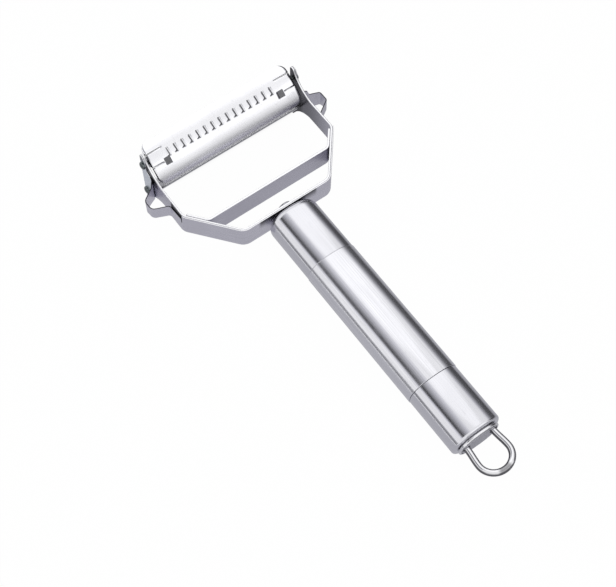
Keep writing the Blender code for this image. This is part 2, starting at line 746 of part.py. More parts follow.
def build_handle(parts, root):
    """Build the three tubes of the handle."""
    polished = steel("handle_polished_steel", (0.72, 0.72, 0.76), 0.20)
    brushed = steel("grip_brushed_steel", (0.68, 0.68, 0.73), 0.34)
    spigot = HANDLE_WALL - GRIP_PROUD + GAP
    bore = spigot + HANDLE_WALL
    front_y = SEAM_FRONT_Y + GAP / 2
    rear_y = SEAM_REAR_Y - GAP / 2
    front = rounding(HANDLE_FRONT_Y, FRONT_ROUNDING, True)
    front += [
        (0.0, front_y + SEAM_CHAMFER),
        (SEAM_CHAMFER, front_y),
        (spigot, front_y),
        (spigot, front_y - SPIGOT_LENGTH),
        (bore, front_y - SPIGOT_LENGTH),
        (bore, HANDLE_FRONT_Y - FRONT_ROUNDING),
        (FRONT_ROUNDING + RIM_WIDTH, HANDLE_FRONT_Y - HANDLE_WALL),
        (FRONT_ROUNDING + RIM_WIDTH, HANDLE_FRONT_Y),
    ]
    piece = add_piece("handle_front_section", oval_loft("handle_front_section", front, True),
                      polished, parts, root)
    smooth(piece)

    grip_front = SEAM_FRONT_Y - GAP / 2
    grip_rear = SEAM_REAR_Y + GAP / 2
    grip = [
        (SEAM_CHAMFER - GRIP_PROUD, grip_front),
        (-GRIP_PROUD, grip_front - SEAM_CHAMFER),
        (-GRIP_PROUD, grip_rear + SEAM_CHAMFER),
        (SEAM_CHAMFER - GRIP_PROUD, grip_rear),
        (HANDLE_WALL - GRIP_PROUD, grip_rear),
        (HANDLE_WALL - GRIP_PROUD, grip_front),
    ]
    piece = add_piece("handle_grip_sleeve", oval_loft("handle_grip_sleeve", grip, True),
                      brushed, parts, root)
    smooth(piece)

    mouth = REAR_ROUNDING + RIM_WIDTH
    rear = rounding(HANDLE_REAR_Y, REAR_ROUNDING, False)
    rear += [
        (0.0, rear_y - SEAM_CHAMFER),
        (SEAM_CHAMFER, rear_y),
        (spigot, rear_y),
        (spigot, rear_y + SPIGOT_LENGTH),
        (bore, rear_y + SPIGOT_LENGTH),
        (bore, HANDLE_REAR_Y + HANDLE_WALL),
        (mouth, HANDLE_REAR_Y + HANDLE_WALL),
        (mouth, HANDLE_REAR_Y),
    ]
    piece = add_piece("handle_rear_section", oval_loft("handle_rear_section", rear, True),
                      polished, parts, root)
    smooth(piece)


def build_front_plug(parts, cutters, root):
    """Build the plug in the front of the handle and the screw that holds the frame to it."""
    dark = steel("plug_dull_steel", (0.45, 0.45, 0.48), 0.42)
    neck = FRONT_ROUNDING + RIM_WIDTH + GAP
    body = HANDLE_WALL - GRIP_PROUD + GAP + HANDLE_WALL + GAP
    body_y = HANDLE_FRONT_Y - FRONT_ROUNDING - GAP
    stations = [
        (neck, -GAP),
        (neck, HANDLE_FRONT_Y - HANDLE_WALL),
        (neck + (body - neck) * 0.35, body_y),
        (body, body_y - (neck - body)),
        (body, -PLUG_LENGTH),
    ]
    plug = add_piece("front_plug", oval_loft("front_plug", stations, False), dark, parts, root)
    hole_length = 2 * (SCREW_LENGTH + GAP)
    hole = cylinder("front_plug_hole", SCREW_RADIUS + GAP, hole_length, (0, 0, 0), AXIS_ALONG_Y)
    combine(plug, "DIFFERENCE", "front_plug_hole", hole, cutters)
    smooth(plug)

    head_y = CROSSBAR_LAYER
    profile = domed_pin_profile(SCREW_HEAD_RADIUS, SCREW_HEAD_HEIGHT, SCREW_RADIUS,
                                SCREW_LENGTH + head_y - GAP)
    screw = turned("frame_screw", profile, SCREW_STEPS, dark, parts, root, (0.0, head_y, 0.0),
                   (-math.pi / 2, 0.0, 0.0))
    half_slot = SCREW_SLOT_WIDTH / 2
    slot_outline = rectangle(-SCREW_HEAD_RADIUS * 2, -half_slot, SCREW_HEAD_RADIUS * 2, half_slot)
    slot = prism("frame_screw_slot", [slot_outline], SCREW_SLOT_DEPTH, None, SCREW_HEAD_HEIGHT)
    combine(screw, "DIFFERENCE", "frame_screw_slot", slot, cutters)


def collar_stations():
    """Return the rings of the end collar, a bead around the neck of the end plug."""
    front = HANDLE_REAR_Y - GAP
    inner = REAR_ROUNDING + RIM_WIDTH
    depth = inner - COLLAR_INSET
    stations = [(inner, front)]
    for index in range(BEAD_STEPS + 1):
        angle = math.pi * index / BEAD_STEPS
        bulge = 0.5 * depth * math.sin(angle)
        stations.append((inner - 0.5 * depth - bulge,
                         front - COLLAR_WIDTH / 2 * (1 - math.cos(angle))))
    stations.append((inner, front - COLLAR_WIDTH))
    return stations


def wire_path():
    """Return the middle line of the hanging loop, from the left leg to the right."""
    start_y = HANDLE_REAR_Y + WIRE_INSIDE
    leave_y = HANDLE_REAR_Y - GAP - COLLAR_WIDTH
    right = [Vector((WIRE_LEG_X, start_y)), Vector((WIRE_LEG_X, leave_y))]
    for index in range(1, WIRE_STEPS + 1):
        share = index / WIRE_STEPS
        ease = share * share * (3 - 2 * share)
        right.append(Vector((WIRE_LEG_X + (WIRE_BELLY_X - WIRE_LEG_X) * ease,
                             leave_y + (WIRE_BELLY_Y - leave_y) * share)))
    for index in range(1, WIRE_STEPS + 1):
        angle = math.pi / 2 * index / WIRE_STEPS
        right.append(Vector((WIRE_BELLY_X * math.cos(angle),
                             WIRE_BELLY_Y + (WIRE_END_Y - WIRE_BELLY_Y) * math.sin(angle))))
    right[-1].x = 0.0
    left = [Vector((-point.x, point.y)) for point in right[:-1]]
    return left + right[::-1]


def build_rear_end(parts, cutters, root):
    """Build the end plug, its collar and the hanging loop."""
    dull = steel("end_plug_dull_steel", (0.50, 0.50, 0.54), 0.38)
    bright = steel("loop_bright_steel", (0.80, 0.80, 0.82), 0.14)
    body = HANDLE_WALL - GRIP_PROUD + GAP + HANDLE_WALL + GAP
    shoulder_y = HANDLE_REAR_Y + HANDLE_WALL + GAP
    neck = REAR_ROUNDING + RIM_WIDTH + GAP
    face_y = HANDLE_REAR_Y - GAP - COLLAR_WIDTH - END_DISC_STEP
    stations = [
        (body, HANDLE_REAR_Y + END_PLUG_LENGTH),
        (body, shoulder_y),
        (neck, shoulder_y),
        (neck, face_y + SEAM_CHAMFER),
        (neck + SEAM_CHAMFER, face_y),
    ]
    plug = add_piece("end_plug", oval_loft("end_plug", stations, False), dull, parts, root)
    for word, side in (("left", -1), ("right", 1)):
        hole_name = "end_plug_hole_" + word
        hole_end = HANDLE_REAR_Y + WIRE_INSIDE + GAP
        hole_start = face_y - STRIP_DEPTH
        hole = cylinder(hole_name, WIRE_RADIUS + GAP, hole_end - hole_start,
                        (side * WIRE_LEG_X, (hole_end + hole_start) / 2, WIRE_LEVEL_Z), AXIS_ALONG_Y)
        combine(plug, "DIFFERENCE", hole_name, hole, cutters)
    smooth(plug)

    collar = add_piece("end_collar", oval_loft("end_collar", collar_stations(), True), bright, parts, root)
    smooth(collar)

    curve_data = bpy.data.curves.new("hanging_loop", "CURVE")
    curve_data.dimensions = "3D"
    curve_data.bevel_depth = WIRE_RADIUS
    curve_data.bevel_resolution = WIRE_SIDES_LEVEL
    curve_data.use_fill_caps = True
    path = wire_path()
    spline = curve_data.splines.new("POLY")
    spline.points.add(len(path) - 1)
    for point, place in zip(spline.points, path):
        point.co = (place.x, place.y, WIRE_LEVEL_Z, 1.0)
    loop = add_piece("hanging_loop", mesh_from_curve(curve_data, "hanging_loop"), bright, parts, root)
    smooth(loop)


def lying_turn():
    """Return the angle at which the tool rests on the rear tips of the ears and the handle's end."""
    ear = Vector((EAR_END_Y - EAR_TIP_RADIUS, EAR_TIP_RADIUS - EAR_HALF_HEIGHT))
    heel = Vector((HANDLE_REAR_Y + REAR_ROUNDING, REAR_ROUNDING - HANDLE_HALF_HEIGHT))
    offset = ear - heel
    slope = math.atan2(offset.y, offset.x)
    return math.asin((EAR_TIP_RADIUS - REAR_ROUNDING) / offset.length) - slope


def lying_lift(turn):
    """Return how far the turned tool is lifted so that the ears touch the ground."""
    y = EAR_END_Y - EAR_TIP_RADIUS
    z = EAR_TIP_RADIUS - EAR_HALF_HEIGHT
    return EAR_TIP_RADIUS - (y * math.sin(turn) + z * math.cos(turn))


def turned_y(y, z, turn):
    """Return how far along Y a point of the side view lies once it is turned."""
    return y * math.cos(turn) - z * math.sin(turn)


def head_reach(turn):
    """Return how far the far edges of the two blades reach along Y when the tool lies down."""
    reaches = []
    for depth in (0.0, BLADE_THICKNESS):
        height = blade_skin(BLADE_FAR_WIDTH) - depth
        y = PIVOT_Y + turned_y(BLADE_FAR_WIDTH, height, JULIENNE_TILT)
        z = PIVOT_Z + BLADE_FAR_WIDTH * math.sin(JULIENNE_TILT) + height * math.cos(JULIENNE_TILT)
        reaches.append(turned_y(y, z, turn))
        y = PIVOT_Y + turned_y(BLADE_FAR_WIDTH, height, PEELING_TILT)
        z = PIVOT_Z + BLADE_FAR_WIDTH * math.sin(PEELING_TILT) + height * math.cos(PEELING_TILT)
        reaches.append(turned_y(y, -z, turn))
    return max(reaches)


def build():
    """Build the whole tool."""
    remove_all_objects()
    parts = new_collection("peeler")
    cutters = new_collection("peeler_cutters")
    root = bpy.data.objects.new("peeler_lying", None)
    parts.objects.link(root)

    build_frame(parts, cutters, root)
    blade_steel = steel("blade_polished_steel", (0.82, 0.82, 0.86), 0.22)
    build_blade("julienne_blade", blade_steel, (0.0, PIVOT_Y, PIVOT_Z), (JULIENNE_TILT, 0.0, 0.0),
                True, parts, cutters, root)
    build_blade("peeling_blade", blade_steel, (0.0, PIVOT_Y, -PIVOT_Z), (PEELING_TILT, math.pi, 0.0),
                False, parts, cutters, root)
    build_pins(parts, root)
    build_handle(parts, root)
    build_front_plug(parts, cutters, root)
    build_rear_end(parts, cutters, root)

    turn = lying_turn()
    reach_front = head_reach(turn)
    reach_rear = turned_y(WIRE_END_Y, WIRE_LEVEL_Z, turn) - WIRE_RADIUS
    root.rotation_euler = (turn, 0.0, 0.0)
    root.location = (0.0, -(reach_front + reach_rear) / 2, lying_lift(turn))
    bpy.context.view_layer.update()


build()
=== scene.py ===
"""Looks of a double sided Y peeler: strip frame, two swinging blades and an oval steel handle.

Each piece is worked out in the tool's own frame, with the handle along Y, the head at +Y, the
width along X and the middle of the strips at Z = 0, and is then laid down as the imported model
lies. All lengths are in metres.
"""

import json
import logging
import math
from dataclasses import dataclass
from enum import Enum
from typing import Any, Callable, Mapping, Sequence

import bmesh
import bpy
import numpy as np
from mathutils import Matrix, Vector


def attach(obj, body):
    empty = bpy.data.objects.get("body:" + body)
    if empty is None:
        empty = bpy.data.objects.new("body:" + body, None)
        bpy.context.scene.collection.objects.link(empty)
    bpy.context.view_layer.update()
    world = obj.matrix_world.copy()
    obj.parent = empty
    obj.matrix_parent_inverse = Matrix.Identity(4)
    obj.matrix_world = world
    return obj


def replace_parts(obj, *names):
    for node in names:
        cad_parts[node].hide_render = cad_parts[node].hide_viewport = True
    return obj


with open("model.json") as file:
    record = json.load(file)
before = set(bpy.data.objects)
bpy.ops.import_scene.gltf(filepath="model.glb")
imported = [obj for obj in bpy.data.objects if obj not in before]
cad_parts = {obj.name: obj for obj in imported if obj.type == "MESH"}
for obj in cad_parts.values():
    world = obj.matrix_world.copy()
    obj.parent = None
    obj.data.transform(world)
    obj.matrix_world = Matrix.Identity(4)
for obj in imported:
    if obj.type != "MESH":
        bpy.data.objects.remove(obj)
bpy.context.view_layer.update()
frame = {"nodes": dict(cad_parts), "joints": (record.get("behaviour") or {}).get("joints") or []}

LOG = logging.getLogger("peeler")
Array = np.ndarray
Pair = tuple[float, float]
Triple = tuple[float, float, float]
WELD = 0.000002  # points nearer than this become one
TINY = 0.000001  # shorter than anything on the tool
CREASE = math.radians(35)  # an edge that turns more than this stays sharp
GRAIN = 0.55  # roughness of the noise in the finishes


class Body(Enum):
    """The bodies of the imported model."""

    FRAME = "frame"
    JULIENNE = "julienne_swing"
    PEELING = "peeling_swing"


class Edge(Enum):
    """What the working edge of a blade is."""

    FINGERS = "fingers for thin strips"
    SLOT = "slot with a peeling lip"


class Turning(Enum):
    """Which way the fine lines of a finish run, as scales along the width and the length of a UV map."""

    ALONG = (5200.0, 26.0)
    ACROSS = (26.0, 5200.0)
    NONE = (420.0, 420.0)


# The tool's own frame


@dataclass(frozen=True)
class Tool:
    """Sizes that several sub-assemblies share, and how the tool lies on the floor."""

    gap: float = 0.0003
    lap: float = 0.00003
    shoulder_half_width: float = 0.03465
    band_thickness: float = 0.0004
    arm_thickness: float = 0.0008
    crossbar_thickness: float = 0.0009
    strip_half_depth: float = 0.0050
    pivot_y: float = 0.0438
    pivot_z: float = 0.0084
    ear_end_y: float = 0.0456
    ear_half_height: float = 0.0147
    ear_tip_radius: float = 0.0013
    handle_half_width: float = 0.01015
    handle_half_height: float = 0.0074
    handle_rear_y: float = -0.1097
    rear_rounding: float = 0.0013

    @property
    def arm_layer(self) -> float:
        """How far the arm strip's outer face lies inside the band's."""
        return self.band_thickness + self.lap

    @property
    def crossbar_layer(self) -> float:
        """How far the outer face of the crossbar's flanges lies inside the band's."""
        return self.arm_layer + self.arm_thickness + self.lap

    @property
    def turn(self) -> float:
        """Angle at which the tool rests on the ears' rear tips and the handle's end."""
        rise = self.ear_tip_radius - self.ear_half_height
        rise -= self.rear_rounding - self.handle_half_height
        run = self.ear_end_y - self.ear_tip_radius - self.handle_rear_y - self.rear_rounding
        slope = math.atan2(rise, run)
        return math.asin((self.ear_tip_radius - self.rear_rounding) / math.hypot(run, rise)) - slope

    @property
    def lying(self) -> Matrix:
        """The matrix that lays the tool down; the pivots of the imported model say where."""
        turned = Matrix.Rotation(self.turn, 4, "X")
        shift = Vector()
        for joint in frame["joints"]:
            level = self.pivot_z if joint["name"].startswith("julienne") else -self.pivot_z
            shift += Vector(joint["pos_m"]) - turned @ Vector((0.0, self.pivot_y, level))
        return Matrix.Translation(shift / len(frame["joints"])) @ turned

    def lay(self, points: Array) -> Array:
        """Return points of the tool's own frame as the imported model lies: each is turned, then moved."""
        matrix = np.array(self.lying)
        return points @ matrix[:3, :3].T + matrix[:3, 3]


# Meshes from grids


def stacked(*columns: Any) -> Array:
    """Return points whose x, y and z are the given arrays, spread out to one shape."""
    return np.stack(np.broadcast_arrays(*columns), axis=-1).astype(float)


@dataclass
class Patch:
    """One grid of points that becomes part of a mesh.

    Attributes:
        points: rows x columns x 3 places in the tool's own frame.
        across: place of each column in the UV map.
        along: place of each row in the UV map.
        kept: for each face, whether it is there.
        mask: a value for each point, stored as the attribute "mask".
    """

    points: Array
    across: Array
    along: Array
    kept: Array | None = None
    mask: Array | float = 0.0

    def faces(self) -> Array:
        """Return the four corners of each face that is there, with the points numbered row by row."""
        rows, columns = self.points.shape[:2]
        first = np.arange((rows - 1) * columns).reshape(rows - 1, columns)[:, :-1]
        faces = np.stack([first, first + 1, first + columns + 1, first + columns], axis=-1)
        return faces[self.kept] if self.kept is not None else faces.reshape(-1, 4)


def capped(points: Array, across: Array, along: Array, mask: Array) -> Patch:
    """Close the first and the last ring of a grid with points at their middles.

    Args:
        points: the rings.
        across: place of each column in the UV map.
        along: place of each ring in the UV map.
        mask: a value for each point.

    Returns:
        The grid with its caps.
    """
    caps = [np.broadcast_to(points[row].mean(axis=0), points[row].shape)[None] for row in (0, -1)]
    along, mask = (np.concatenate([values[:1], values, values[-1:]]) for values in (along, mask))
    return Patch(np.concatenate([caps[0], points, caps[1]]), across, along, mask=mask)


def stand_in(node: str, patches: Sequence[Patch], tool: Tool,
             paints: Sequence[bpy.types.Material], body: Body = Body.FRAME,
             solid: bool = True) -> bpy.types.Object:
    """Make the piece that stands for a node: grids welded at their points, with sharp creases kept sharp.

    Args:
        node: name of the node; the piece's own name ends in _form.
        patches: the grids.
        tool: lays the points down.
        paints: the piece's materials.
        body: what the piece moves with.
        solid: whether the grids close up, so that the faces can be turned outward.

    Returns:
        The piece, at the origin.
    """
    places, corners, maps, masks, count = [], [], [], [], 0
    for patch in patches:
        places.append(tool.lay(patch.points.reshape(-1, 3)))
        corners.append(patch.faces() + count)
        maps.append(stacked(patch.across[None, :], patch.along[:, None], 0.0).reshape(-1, 3)[:, :2])
        masks.append(np.broadcast_to(patch.mask, patch.points.shape[:2]).reshape(-1))
        count += len(places[-1])
    faces = np.concatenate(corners)
    mesh = bpy.data.meshes.new(node + "_form")
    mesh.from_pydata(np.concatenate(places), [], faces)
    mesh.uv_layers.new(name="lines").data.foreach_set("uv", np.concatenate(maps)[faces.ravel()].ravel())
    mesh.attributes.new("mask", "FLOAT", "POINT").data.foreach_set(
        "value", np.concatenate(masks).astype(np.float32))
    work = bmesh.new()
    work.from_mesh(mesh)
    bmesh.ops.remove_doubles(work, verts=work.verts, dist=WELD)
    loose = [vertex for vertex in work.verts if not vertex.link_faces]
    bmesh.ops.delete(work, geom=loose, context="VERTS")
    if solid:
        bmesh.ops.recalc_face_normals(work, faces=work.faces)
    work.to_mesh(mesh)
    work.free()
    mesh.shade_smooth()
    mesh.set_sharp_from_angle(angle=CREASE)
    for paint in paints:
        mesh.materials.append(paint)
    piece = bpy.data.objects.new(mesh.name, mesh)
    bpy.context.scene.collection.objects.link(piece)
    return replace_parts(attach(piece, body.value), node)


def smoothstep(share: Array) -> Array:
    """Return 3s^2 - 2s^3 of a share held between 0 and 1."""
    held = np.clip(share, 0.0, 1.0)
    return held * held * (3.0 - 2.0 * held)


def refined(marks: Sequence[float], longest: float) -> Array:
    """Return the marks in order, with equal steps between neighbours that are no longer than given."""
    marks = np.unique(np.round(np.asarray(marks, float), 7))
    runs = [np.linspace(low, high, max(2, math.ceil((high - low) / longest) + 1))[:-1]
            for low, high in zip(marks, marks[1:])]
    return np.concatenate([*runs, marks[-1:]])


def run_lengths(points: Array) -> Array:
    """Return how far each point of a line is from its start, measured along the line."""
    steps = np.linalg.norm(np.diff(points, axis=0), axis=1)
    return np.concatenate([[0.0], np.cumsum(steps)])


# Flat paths of straight runs and bends


@dataclass(frozen=True)
class BentPath:
    """A flat path of straight runs with an arc at each inner corner.

    Attributes:
        corners: where the straight runs would meet.
        radii: bend radius at each inner corner.
        run_step: longest step on a straight run.
        arc_step: longest step around a bend, as an angle.
    """

    corners: Sequence[Pair]
    radii: Sequence[float]
    run_step: float = 0.00025
    arc_step: float = math.radians(1.2)

    def trace(self) -> tuple[Array, Array]:
        """Return the path's points, and the unit vector to the left of the path at each.

        A bend starts r*tan(turn/2) before its corner and runs around a centre at r to the side it
        turns to, so that the left vector turns evenly with it.

        Returns:
            Points and left vectors, both n x 2.
        """
        corners = np.asarray(self.corners, float)
        headings = np.diff(corners, axis=0)
        headings /= np.linalg.norm(headings, axis=1)[:, None]
        lefts = np.stack([-headings[:, 1], headings[:, 0]], axis=1)
        points, normals, start = [], [], corners[0]
        for index, radius in enumerate([*self.radii, 0.0]):
            before, after = headings[index], headings[min(index + 1, len(self.radii))]
            turn = math.atan2(before[0] * after[1] - before[1] * after[0], float(before @ after))
            begin = corners[index + 1] - before * radius * math.tan(abs(turn) / 2)
            share = refined([0.0, float(np.linalg.norm(begin - start))], self.run_step)[:, None]
            share = share[:-1] if index < len(self.radii) else share
            points.append(start + share * before)
            normals.append(np.broadcast_to(lefts[index], (len(share), 2)))
            if index < len(self.radii):
                angles = np.linspace(0.0, turn, max(3, math.ceil(abs(turn) / self.arc_step) + 1))[:, None]
                turned = np.cos(angles) * lefts[index] - np.sin(angles) * before
                bend = begin + math.copysign(radius, turn) * (lefts[index] - turned)
                points.append(bend[:-1])
                normals.append(turned[:-1])
                start = bend[-1]
        return np.concatenate(points), np.concatenate(normals)


def touching(start: Array, centre: Array, radius: float, side: float) -> Array:
    """Return where the line from a point touches a circle.

    Args:
        start: the point.
        centre: centre of the circle.
        radius: its radius.
        side: 1 for the touch to the left of the centre, -1 for the right.

    Returns:
        The touch point.
    """
    offset = centre - start
    distance = float(np.linalg.norm(offset))
    angle = side * math.asin(radius / distance)
    turned = np.array([offset[0] * math.cos(angle) - offset[1] * math.sin(angle),
                       offset[0] * math.sin(angle) + offset[1] * math.cos(angle)])
    return start + turned * math.sqrt(distance ** 2 - radius ** 2) / distance


# Shader maths


class Signal:
    """A shader socket that takes part in arithmetic: each operation adds its Math node."""

    def __init__(self, paint: "Paint", socket: bpy.types.NodeSocket) -> None:
        """Keep the material and the socket."""
        self.paint = paint
        self.socket = socket

    def _math(self, operation: str, *terms: Any) -> "Signal":
        """Return the outcome of one Math node."""
        return self.paint.add("ShaderNodeMath", {"operation": operation}, dict(enumerate(terms)))

    def __add__(self, other: Any) -> "Signal":
        """Return self + other."""
        return self._math("ADD", self, other)

    def __sub__(self, other: Any) -> "Signal":
        """Return self - other."""
        return self._math("SUBTRACT", self, other)

    def __rsub__(self, other: Any) -> "Signal":
        """Return other - self."""
        return self._math("SUBTRACT", other, self)

    def __mul__(self, other: Any) -> "Signal":
        """Return self * other."""
        return self._math("MULTIPLY", self, other)

    def __abs__(self) -> "Signal":
        """Return self without its sign."""
        return self._math("ABSOLUTE", self)

    __radd__ = __add__
    __rmul__ = __mul__

    def above(self, low: float, high: float) -> "Signal":
        """Return a value that rises smoothly from 0 at the low bound to 1 at the high one."""
        return self.paint.add("ShaderNodeMapRange", {"interpolation_type": "SMOOTHSTEP"},
                              {"Value": self, "From Min": low, "From Max": high})

    def within(self, rise: Pair, fall: Pair) -> "Signal":
        """Return a value that rises from 0 to 1 between the first bounds and falls between the others."""
        return self.above(*rise) * (1 - self.above(*fall))


class Paint:
    """The nodes of a material, or of the world, in the making."""

    def __init__(self, name: str, kind: Any = None, shader: str = "Principled BSDF") -> None:
        """Start a material, or the world.

        Args:
            name: its name.
            kind: where Blender keeps its kind of data; the materials by default.
            shader: name of the node that it starts with.
        """
        self.made = (bpy.data.materials if kind is None else kind).new(name)
        self.made.use_nodes = True
        self.tree = self.made.node_tree
        self.shader = self.tree.nodes[shader]

    def add(self, kind: str, settings: Mapping[str, Any] | None = None,
            inputs: Mapping[Any, Any] | None = None, output: Any = 0) -> Signal:
        """Add a node: its settings come first, then the values or links of its sockets.

        Args:
            kind: the node's type.
            settings: its properties; "stops" are a ramp's positions and colours.
            inputs: values or signals by socket name or number.
            output: name or number of the outcome that is returned.

        Returns:
            The node's outcome.
        """
        node = self.tree.nodes.new(kind)
        for key, value in (settings or {}).items():
            if key == "stops":
                ramp = node.color_ramp.elements
                while len(ramp) < len(value):
                    ramp.new(0.5)
                for stop, (place, colour) in zip(ramp, value):
                    stop.position, stop.color = place, (*colour, 1.0)
            else:
                setattr(node, key, value)
        for key, value in (inputs or {}).items():
            self.feed(node.inputs[key], value)
        return Signal(self, node.outputs[output])

    def feed(self, socket: bpy.types.NodeSocket, value: Any) -> None:
        """Link a signal to a socket, or set the socket's own value.

        Args:
            socket: where it goes.
            value: a signal, a number or a colour.
        """
        if isinstance(value, Signal):
            self.tree.links.new(value.socket, socket)
        elif isinstance(value, (tuple, list)) and len(value) == 3 and socket.type == "RGBA":
            socket.default_value = (*value, 1.0)
        else:
            socket.default_value = value

    def dress(self, **inputs: Any) -> None:
        """Feed the shader that it starts with; spaces in a socket's name are written as _."""
        for key, value in inputs.items():
            self.feed(self.shader.inputs[key.replace("_", " ")], value)

    def surface(self, shader: Signal) -> None:
        """Make a shader the one that shows."""
        out = next(node for node in self.tree.nodes if node.type == "OUTPUT_MATERIAL")
        self.feed(out.inputs["Surface"], shader)

    def axes(self, spot: Signal) -> list[Signal]:
        """Return the x, y and z of a place."""
        return [self.add("ShaderNodeSeparateXYZ", None, {0: spot}, axis) for axis in range(3)]

    def place(self, tool: Tool, *scale: float) -> Signal:
        """Return places in the tool's own frame, scaled.

        Args:
            tool: says how the tool lies.
            scale: scale along x, y and z, if any.

        Returns:
            The scaled places.
        """
        spot, back = self.add("ShaderNodeTexCoord", output="Object"), tool.lying.inverted()
        level = self.add("ShaderNodeMapping", None, {
            "Vector": spot, "Location": back.to_translation(), "Rotation": back.to_euler()})
        return self.add("ShaderNodeMapping", None, {"Vector": level, "Scale": scale}) if scale else level

    def lines(self, scale: Pair) -> Signal:
        """Return the piece's own UV map, scaled along its width and its length."""
        flat = self.add("ShaderNodeUVMap", {"uv_map": "lines"})
        return self.add("ShaderNodeMapping", None, {"Vector": flat, "Scale": (*scale, 1.0)})

    def noise(self, spot: Signal, detail: float) -> Signal:
        """Return soft noise from 0 to 1 at scaled places."""
        return self.add("ShaderNodeTexNoise", None, {"Vector": spot, "Scale": 1.0, "Detail": detail,
                                                     "Roughness": GRAIN})

    def mask(self) -> Signal:
        """Return the value that each piece's points carry."""
        return self.add("ShaderNodeAttribute", {"attribute_name": "mask"}, output="Fac")

    def blend(self, factor: Any, first: Any, second: Any, kind: str = "MIX") -> Signal:
        """Return the mix of two colours, the factor being the share of the second."""
        settings = {"data_type": "RGBA", "blend_type": kind}
        return self.add("ShaderNodeMix", settings, {0: factor, 6: first, 7: second}, 2)

    def bump(self, height: Signal, distance: float) -> Signal:
        """Return a normal raised by a height of that many metres."""
        return self.add("ShaderNodeBump", None, {"Height": height, "Distance": distance, "Strength": 1.0})


# Finishes, with painted highlights and shade


def scaled(colour: Sequence[float], factor: float) -> Triple:
    """Return a colour made lighter or darker by a factor, at most 1."""
    return tuple(min(1.0, channel * factor) for channel in colour)


@dataclass(frozen=True)
class PaintedZone:
    """A range of places, the same on both sides of the tool, painted a colour that stands for shade or a
    reflection there.

    Attributes:
        colour: its colour, painted shade where dark and a painted reflection where light.
        out: nearest and farthest distance from the middle plane.
        along: from where to where along Y.
        front: least height.
        rise: length over which it sets in along Y.
        share: how much of the colour shows.
        soft: half the width of its other borders.
    """

    colour: Triple
    out: Pair
    along: Pair
    front: float = -1.0
    rise: float = 0.0004
    share: float = 1.0
    soft: float = 0.0002

    def cover(self, paint: Paint, tool: Tool) -> Signal:
        """Return how much of the colour shows: up to the share inside the range and 0 around it.

        Args:
            paint: material that the zone is on.
            tool: says how the tool lies.

        Returns:
            The share of the colour at each place.
        """
        x, y, z = paint.axes(paint.place(tool))
        (near, far), (start, end), soft = self.out, self.along, self.soft
        inside = abs(x).within((near - soft / 2, near), (far, far + soft / 2))
        inside = inside * y.within((start, start + self.rise), (end - soft, end + soft))
        return inside * z.above(self.front - soft, self.front + soft) * self.share


